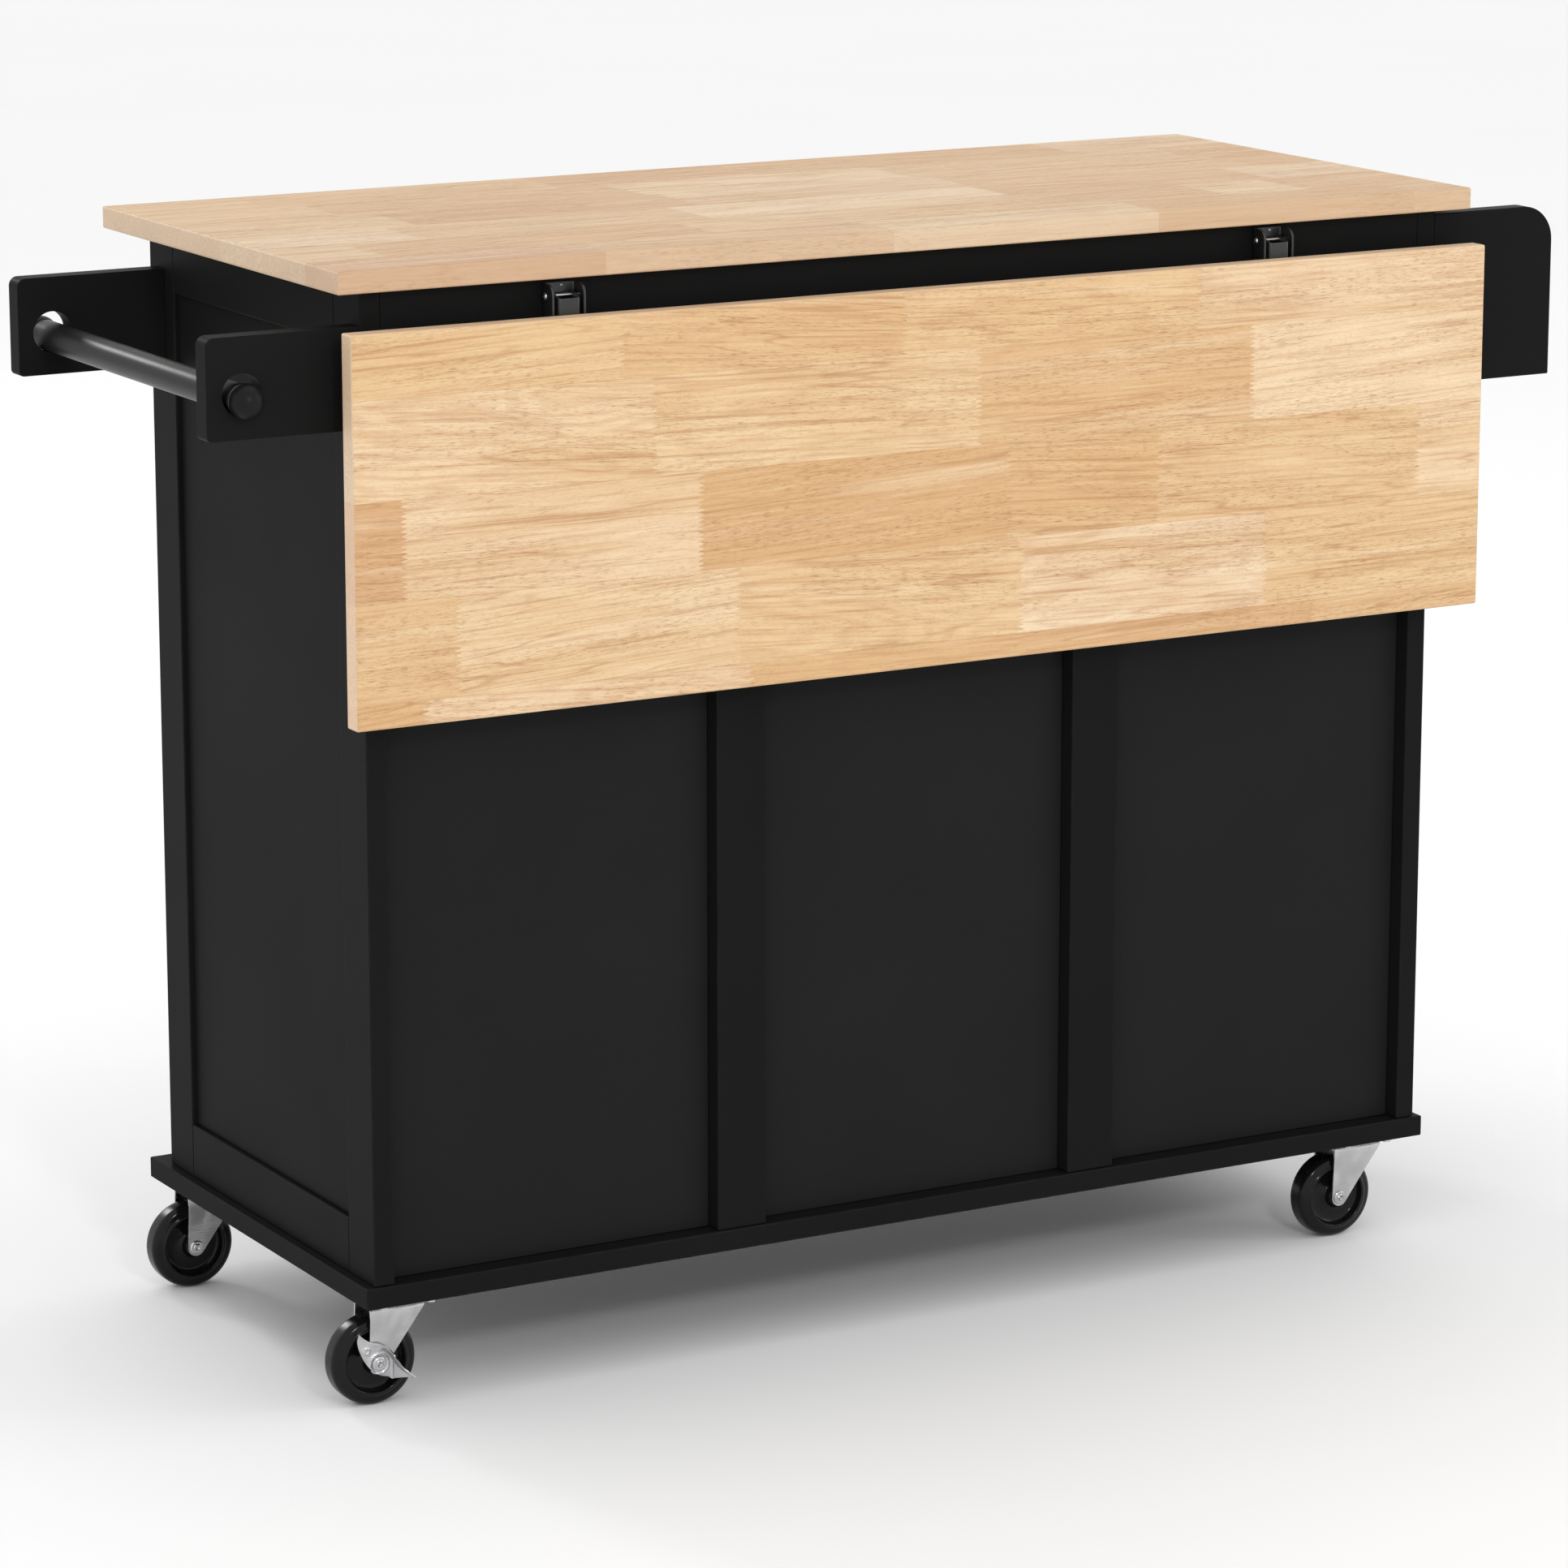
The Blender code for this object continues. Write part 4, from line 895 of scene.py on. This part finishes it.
def build_caster_plate(corner):
    """Mounting plate with round corners, and its four hexagon bolts with washers."""
    name = f"{corner}_caster_plate"
    low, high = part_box(name)
    outline = cornered_outline(low.xy, high.xy, dict.fromkeys(QUARTERS, PLATE_CORNER), 6)
    bm = plate_bmesh([outline], high.z - low.z, Matrix.Translation((0, 0, (low.z + high.z) / 2)))
    plate = make_piece(f"{name}_pressing", bm, "zinc", "cabinet", [name])
    soften(plate, 0.0004, 2)
    washer = [(0.0, 0.0010), (0.0058, 0.0010), (0.0062, 0.0006), (0.0062, 0.0), (0.0, 0.0)]
    head = [(0.0, 0.0046), (0.0036, 0.0046), (0.0050, 0.0040), (0.0050, 0.0009), (0.0, 0.0009)]
    bm = bmesh.new()
    for x in (low.x + BOLT_INSET, high.x - BOLT_INSET):
        for y in (low.y + BOLT_INSET, high.y - BOLT_INSET):
            add_lathe(bm, washer, Vector((x, y, low.z)), -Z_AXIS, 32)
            add_lathe(bm, head, Vector((x, y, low.z)), -Z_AXIS, 6)
    make_piece(f"{corner}_caster_bolts", bm, "zinc", "cabinet", sharp=30)


def build_casters():
    for corner in CORNERS:
        axle = build_wheel(corner)
        swivel = Vector(JOINTS[f"{corner}_swivel"]["pos_m"])
        build_fork(corner, axle, swivel)
        build_caster_plate(corner)
        if corner in BRAKE_SIDES:
            build_lever(corner, axle)


# ---- leaf brackets
def build_channel(name, node, body, path, extent, rows, foot, inward, sheet):
    """A bracket's folded channel, from its section and its (low, high) extent in Z at each depth."""
    bm = bmesh.new()
    add_folded_sheet(bm, path, *extent, rows, foot, X_AXIS, inward, Z_AXIS)
    channel = make_piece(name, bm, "black_steel", body, [node], 60)
    thicken(channel, sheet)
    soften(channel, 0.0004, 2)


def build_wall_channel(side, middle):
    """The channel on the case, with round corners on its cheeks."""
    node = f"{side}_bracket_wall_channel"
    low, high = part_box(node)
    depth = high.y - low.y

    def bottom(d):
        return low.z + round_end(d - (depth - WALL_CORNER), WALL_CORNER)

    def top(d):
        return high.z - round_end(d - (depth - WALL_CORNER), WALL_CORNER)

    path = folded_path(BRACKET_HALF, depth, BRACKET_BEND, WALL_CORNER)
    build_channel(f"{side}_bracket_wall_pressing", node, "cabinet", path, (bottom, top), 16,
                  Vector((middle, high.y, 0)), -Y_AXIS, BRACKET_SHEET)


def build_arm_channel(side, middle, pivot):
    """The channel under the leaf: a round eye at the pivot, and cheeks that narrow away from it."""
    node = f"{side}_bracket_arm"
    low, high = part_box(node)
    depth = high.y - low.y
    to_pivot = pivot.y - low.y
    web_top = pivot.z - ARM_WEB_DROP

    def bottom(d):
        if d <= 2 * ARM_FOOT_CORNER:
            return low.z + round_end(d - ARM_FOOT_CORNER, ARM_FOOT_CORNER)
        share = (d - 2 * ARM_FOOT_CORNER) / (depth - 2 * ARM_FOOT_CORNER)
        return low.z + ARM_FOOT_CORNER + share * (ARM_FOOT_RISE - ARM_FOOT_CORNER)

    def top(d):
        if d <= to_pivot:
            return web_top + (pivot.z + ARM_EYE - web_top) * d / to_pivot
        return pivot.z + ARM_EYE - round_end(d - to_pivot, ARM_EYE)

    path = folded_path((high.x - low.x) / 2, depth, BRACKET_BEND, ARM_EYE)
    build_channel(f"{side}_bracket_arm_pressing", node, "drop_leaf", path, (bottom, top), 24,
                  Vector((middle, low.y, 0)), Y_AXIS, ARM_SHEET)


def build_bracket_rivets(side, middle, pivot, low_pin):
    """The pin that the arm turns on, with a dome at each end, and the short pin of the strut."""
    dome = [(0.0, 0.0017), (0.0012, 0.0016), (0.0024, 0.0011), (0.0031, 0.0004), (0.0032, 0.0), (0.0, 0.0)]
    pin = [(0.0, BRACKET_HALF), (0.0018, BRACKET_HALF), (0.0018, -BRACKET_HALF), (0.0, -BRACKET_HALF)]
    short = [(0.0, 0.0040), (0.0026, 0.0036), (0.0026, 0.0028), (0.0017, 0.0026), (0.0017, -0.0044),
             (0.0026, -0.0046), (0.0026, -0.0052), (0.0, -0.0056)]
    at_pin = Vector((middle, pivot.y, pivot.z))
    bm = bmesh.new()
    add_lathe(bm, pin, at_pin, X_AXIS, 24)
    for sign in (-1, 1):
        add_lathe(bm, dome, at_pin + X_AXIS * sign * BRACKET_HALF, X_AXIS * sign, 32)
    add_lathe(bm, short, low_pin, X_AXIS, 24)
    make_piece(f"{side}_bracket_rivets", bm, "zinc", "cabinet")


def build_bracket_screws(side, middle):
    """Two screws through the wall channel's web and three through the arm's."""
    low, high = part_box(f"{side}_bracket_wall_channel")
    web_front = high.y - BRACKET_SHEET
    bm = bmesh.new()
    add_screw_head(bm, Vector((middle + 0.0015, web_front, high.z - 0.0024)), -Y_AXIS, 0.0015, 0.0010)
    add_screw_head(bm, Vector((middle, web_front, low.z + 0.008)), -Y_AXIS, 0.0032, 0.0018)
    make_piece(f"{side}_bracket_wall_screws", bm, "zinc", "cabinet")
    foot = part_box(f"{side}_bracket_arm")[0]
    bm = bmesh.new()
    for rise in ARM_SCREW_RISES:
        add_screw_head(bm, Vector((middle, foot.y + BRACKET_SHEET, foot.z + rise)), Y_AXIS, 0.0034, 0.0019)
    make_piece(f"{side}_bracket_arm_screws", bm, "zinc", "drop_leaf")


def build_bracket(side):
    pivot = Vector(JOINTS["leaf_fold"]["pos_m"])
    low_pin = Vector(JOINTS[f"{side}_brace_fold"]["pos_m"])
    low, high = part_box(f"{side}_bracket_wall_channel")
    middle = (low.x + high.x) / 2
    build_wall_channel(side, middle)
    build_arm_channel(side, middle, pivot)
    build_bracket_rivets(side, middle, pivot, low_pin)
    build_bracket_screws(side, middle)

    web_front = high.y - BRACKET_SHEET
    bm = bmesh.new()
    add_soft_box(bm, low_pin + Vector((-0.0048, -0.0034, -0.0060)),
                 (low_pin.x - 0.0018, web_front + 0.0004, low_pin.z + 0.0060), 0.0010)
    make_piece(f"{side}_bracket_lug", bm, "black_steel", "cabinet")


# ---- towel bar and rack ends
UPRIGHT = Matrix.Rotation(math.radians(90), 4, "X")


def build_end_board(node, radii, edge, segments, hole=None):
    """A shaped board that lies in X and Z, with an optional round hole given as (x, z, radius)."""
    low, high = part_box(node)
    loops = [cornered_outline(low.xz, high.xz, radii, 14)]
    if hole:
        loops.append(arc(hole[:2], hole[2], 0, 360, 72)[:-1])
    middle = (low.y + high.y) / 2
    bm = plate_bmesh(loops, high.y - low.y, Matrix.Translation((0, middle, 0)) @ UPRIGHT)
    board = make_piece(f"{node}_board", bm, "black_paint", "cabinet", [node])
    soften(board, edge, segments)


def build_towel_bar():
    for node in ("rear_towel_arm", "front_towel_arm"):
        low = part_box(node)[0]
        hole = (low.x + ARM_HOLE_INSET, low.z + ARM_HOLE_RISE, ARM_HOLE_RADIUS)
        build_end_board(node, ARM_ROUNDING, ARM_EDGE, 4, hole)
    low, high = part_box("towel_bar")
    ball = (high.x - low.x) / 2
    half = (high.y - low.y) / 2
    neck_angle = math.pi - math.asin(BAR_NECK / ball)
    upper = [(0.0, half)]
    for i in range(1, BALL_STEPS + 1):
        angle = neck_angle * i / BALL_STEPS
        upper.append((ball * math.sin(angle), half - ball + ball * math.cos(angle)))
    neck_end = upper[-1][1]
    upper += [(BAR_NECK, neck_end - 0.0008), (BAR_ROD - 0.0006, neck_end - 0.0014)]
    upper += [(BAR_ROD, neck_end - 0.0024)] + [(BAR_ROD, neck_end * share) for share in (0.8, 0.6, 0.4, 0.2)]
    bm = bmesh.new()
    add_lathe(bm, mirrored(upper), (low + high) / 2, Y_AXIS, 64)
    bar = make_piece("towel_bar_turning", bm, "black_paint", "towel_bar", ["towel_bar"], 45)
    bar.data.materials[0] = FINISHES["bar_paint"]


def build_rack_ends():
    for node in ("rear_rack_end", "front_rack_end"):
        build_end_board(node, RACK_ROUNDING, RACK_EDGE, 2)


# ---- case joints
def between(first, second, axis):
    """The middle of the fine gap between two neighbouring boards."""
    return (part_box(first)[1][axis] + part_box(second)[0][axis]) / 2


def add_glue_line(bm, start, end):
    """A thin strip from start to end, wide enough to close the gap that it follows."""
    low = [min(pair) - GLUE_HALF for pair in zip(start, end)]
    high = [max(pair) + GLUE_HALF for pair in zip(start, end)]
    add_soft_box(bm, low, high, GLUE_HALF / 4, 1)


def build_glue_lines():
    """Glue in the fine joints of the case, set back from both faces, so that no light shows through."""
    bm = bmesh.new()
    rail_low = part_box("back_top_rail")[0]
    panel_low, panel_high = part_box("back_middle_panel")
    back_y = (panel_low.y + panel_high.y) / 2
    case_top = between("back_top_rail", "top_board", 2)
    case_bottom = between("base_board", "back_middle_panel", 2)
    row = ("left_rear_stile", "back_left_panel", "back_left_stile", "back_middle_panel",
           "back_right_stile", "back_right_panel", "right_rear_stile")
    columns = [between(first, second, 0) for first, second in zip(row, row[1:])]
    rail_z = (panel_high.z + rail_low.z) / 2
    for x in columns:
        add_glue_line(bm, (x, back_y, case_bottom), (x, back_y, rail_z))
    for z in (case_bottom, rail_z, case_top):
        add_glue_line(bm, (columns[0], back_y, z), (columns[-1], back_y, z))
    for x in (columns[0], columns[-1]):
        add_glue_line(bm, (x, back_y, rail_z), (x, back_y, case_top))
    for side in SIDES:
        low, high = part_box(f"{side}_panel")
        x = (low.x + high.x) / 2
        rear = between(f"{side}_rear_stile", f"{side}_panel", 1)
        front = between(f"{side}_panel", f"{side}_front_stile", 1)
        for y in (rear, front):
            add_glue_line(bm, (x, y, case_bottom), (x, y, case_top))
        bottom = between(f"{side}_bottom_rail", f"{side}_panel", 2)
        top = between(f"{side}_panel", f"{side}_top_rail", 2)
        for z in (bottom, top):
            add_glue_line(bm, (x, rear, z), (x, front, z))
        case_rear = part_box(f"{side}_rear_stile")[0].y
        case_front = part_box(f"{side}_front_stile")[1].y
        for z in (case_bottom, case_top):
            add_glue_line(bm, (x, case_rear + GLUE_SETBACK, z), (x, case_front - GLUE_SETBACK, z))
    make_piece("case_glue_lines", bm, "black_paint", "cabinet")


# ---- doors and drawers
def build_knob(node, body):
    low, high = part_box(node)
    foot = Vector(((low.x + high.x) / 2, low.y, (low.z + high.z) / 2))
    top = high.y - low.y
    radius = (high.x - low.x) / 2
    cap = [(0.0, top), (0.0060, top - 0.0001), (0.0095, top - 0.0006), (0.0120, top - 0.0014)]
    rim = arc((radius - 0.0032, top - 0.0048), 0.0032, 62, -70, 10)
    stem = [(0.0100, top - 0.0094), (0.0072, top - 0.0112), (0.0058, top - 0.0138), (0.0054, 0.0070),
            (0.0058, 0.0040), (0.0068, 0.0022), (0.0082, 0.0016), (0.0086, 0.0010), (0.0086, 0.0), (0.0, 0.0)]
    bm = bmesh.new()
    add_lathe(bm, cap + rim + stem, foot, Y_AXIS, 72)
    make_piece(f"{node}_turning", bm, "nickel", body, [node], 50)


def build_hinge(side, place, wall, into, door_back, height):
    """A concealed hinge: a cup plate on the door, and an arm on its base inside the case."""
    def at(inwards, behind, rise):
        """A point, measured from the case's wall, the door's back and the hinge's middle."""
        return Vector((wall + into * inwards, door_back - behind, height + rise))

    cup = [(0.0, 0.0002), (0.0125, 0.0002), (0.0138, 0.0012), (0.0150, 0.0012), (0.0158, 0.0)]
    bm = bmesh.new()
    add_soft_box(bm, at(0.0020, 0.0015, -0.026), at(0.0400, 0.0, 0.026), 0.0006)
    add_lathe(bm, cup, at(0.0185, 0.0014, 0.0), -Y_AXIS, 48)
    for rise in (-0.0205, 0.0205):
        add_screw_head(bm, at(0.024, 0.0014, rise), -Y_AXIS, 0.0036, 0.0012)
    make_piece(f"{side}_door_hinge_cup_{place}", bm, "nickel", f"{side}_door")

    bm = bmesh.new()
    add_soft_box(bm, at(0.0, 0.062, -0.024), at(0.0030, 0.030, 0.024), 0.0008)
    add_soft_box(bm, at(0.0026, 0.060, -0.008), at(0.0120, 0.0060, 0.008), 0.0020, 3)
    for rise in (-0.017, 0.017):
        add_screw_head(bm, at(0.0029, 0.046, rise), X_AXIS * into, 0.0036, 0.0014)
    add_screw_head(bm, at(0.0119, 0.042, 0.0), X_AXIS * into, 0.0034, 0.0012)
    make_piece(f"{side}_door_hinge_arm_{place}", bm, "nickel", "cabinet")


def build_hinges(side, sign):
    door_low, door_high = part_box(f"{side}_door")
    stile_low, stile_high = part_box(f"{side}_front_stile")
    wall = stile_high.x if sign < 0 else stile_low.x
    for place, height in (("lower", door_low.z + HINGE_INSET), ("upper", door_high.z - HINGE_INSET)):
        build_hinge(side, place, wall, -sign, door_low.y, height)


def add_channel(bm, x_web, x_lips, low_z, high_z, start_y, end_y):
    """A straight C channel along Y with its web at x_web and its lips at x_lips."""
    inside = x_web + math.copysign(RUNNER_SHEET, x_lips - x_web)
    add_soft_box(bm, (x_web, start_y, low_z), (inside, end_y, high_z), RUNNER_EDGE)
    add_soft_box(bm, (x_web, start_y, low_z), (x_lips, end_y, low_z + RUNNER_SHEET), RUNNER_EDGE)
    add_soft_box(bm, (x_web, start_y, high_z - RUNNER_SHEET), (x_lips, end_y, high_z), RUNNER_EDGE)


def build_runners(side, sign):
    """Side-mounted runners: an outer channel on each wall of the bay and an inner one on the drawer."""
    box_low, box_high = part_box(f"{side}_drawer_box")
    stile_low, stile_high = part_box(f"{side}_front_stile")
    part_low, part_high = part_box(f"{side}_partition")
    walls = (stile_high.x, part_low.x) if sign < 0 else (part_high.x, stile_low.x)
    middle = (box_low.z + box_high.z) / 2 - 0.010
    front, back = box_high.y - 0.004, box_low.y + 0.006
    for place, wall, drawer_side in (("a", walls[0], box_low.x), ("b", walls[1], box_high.x)):
        toward = math.copysign(1, drawer_side - wall)
        bm = bmesh.new()
        add_channel(bm, wall + toward * 0.0003, wall + toward * 0.0085, middle - 0.0175, middle + 0.0175,
                    back, front)
        for y in (back + 0.05, (back + front) / 2, front - 0.03):
            add_screw_head(bm, Vector((wall + toward * 0.0013, y, middle)), X_AXIS * toward, 0.0034, 0.0012)
        make_piece(f"{side}_runner_outer_{place}", bm, "zinc", "cabinet")
        bm = bmesh.new()
        add_channel(bm, drawer_side - toward * 0.0003, drawer_side - toward * 0.0100, middle - 0.0125,
                    middle + 0.0125, back, front)
        make_piece(f"{side}_runner_inner_{place}", bm, "zinc", f"{side}_drawer")


def build_doors_and_drawers():
    for side, sign in SIDES.items():
        build_knob(f"{side}_drawer_knob", f"{side}_drawer")
        build_knob(f"{side}_door_knob", f"{side}_door")
        build_hinges(side, sign)
        build_runners(side, sign)


# ---- the frame's own pieces
def dress_frame():
    """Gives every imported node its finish."""
    for name, node in NODES.items():
        slot = node.data.materials[0].name.split(".")[0]
        finish = {"top_board": "worktop_wood", "drop_leaf": "leaf_wood"}.get(name, slot)
        if name.startswith("back") and name.endswith("panel"):
            finish = "panel_paint"
        node.data.materials[0] = FINISHES[finish]


def build_floor():
    bm = bmesh.new()
    bmesh.ops.create_grid(bm, x_segments=8, y_segments=8, size=FLOOR_REACH)
    mesh = bpy.data.meshes.new("studio_floor")
    bm.to_mesh(mesh)
    bm.free()
    mesh.materials.append(FINISHES["floor"])
    add_object("studio_floor", mesh)


add_camera()
add_lights()
FINISHES = make_finishes()
build_floor()
dress_frame()
build_casters()
for bracket_side in SIDES:
    build_bracket(bracket_side)
build_towel_bar()
build_rack_ends()
build_glue_lines()
build_doors_and_drawers()
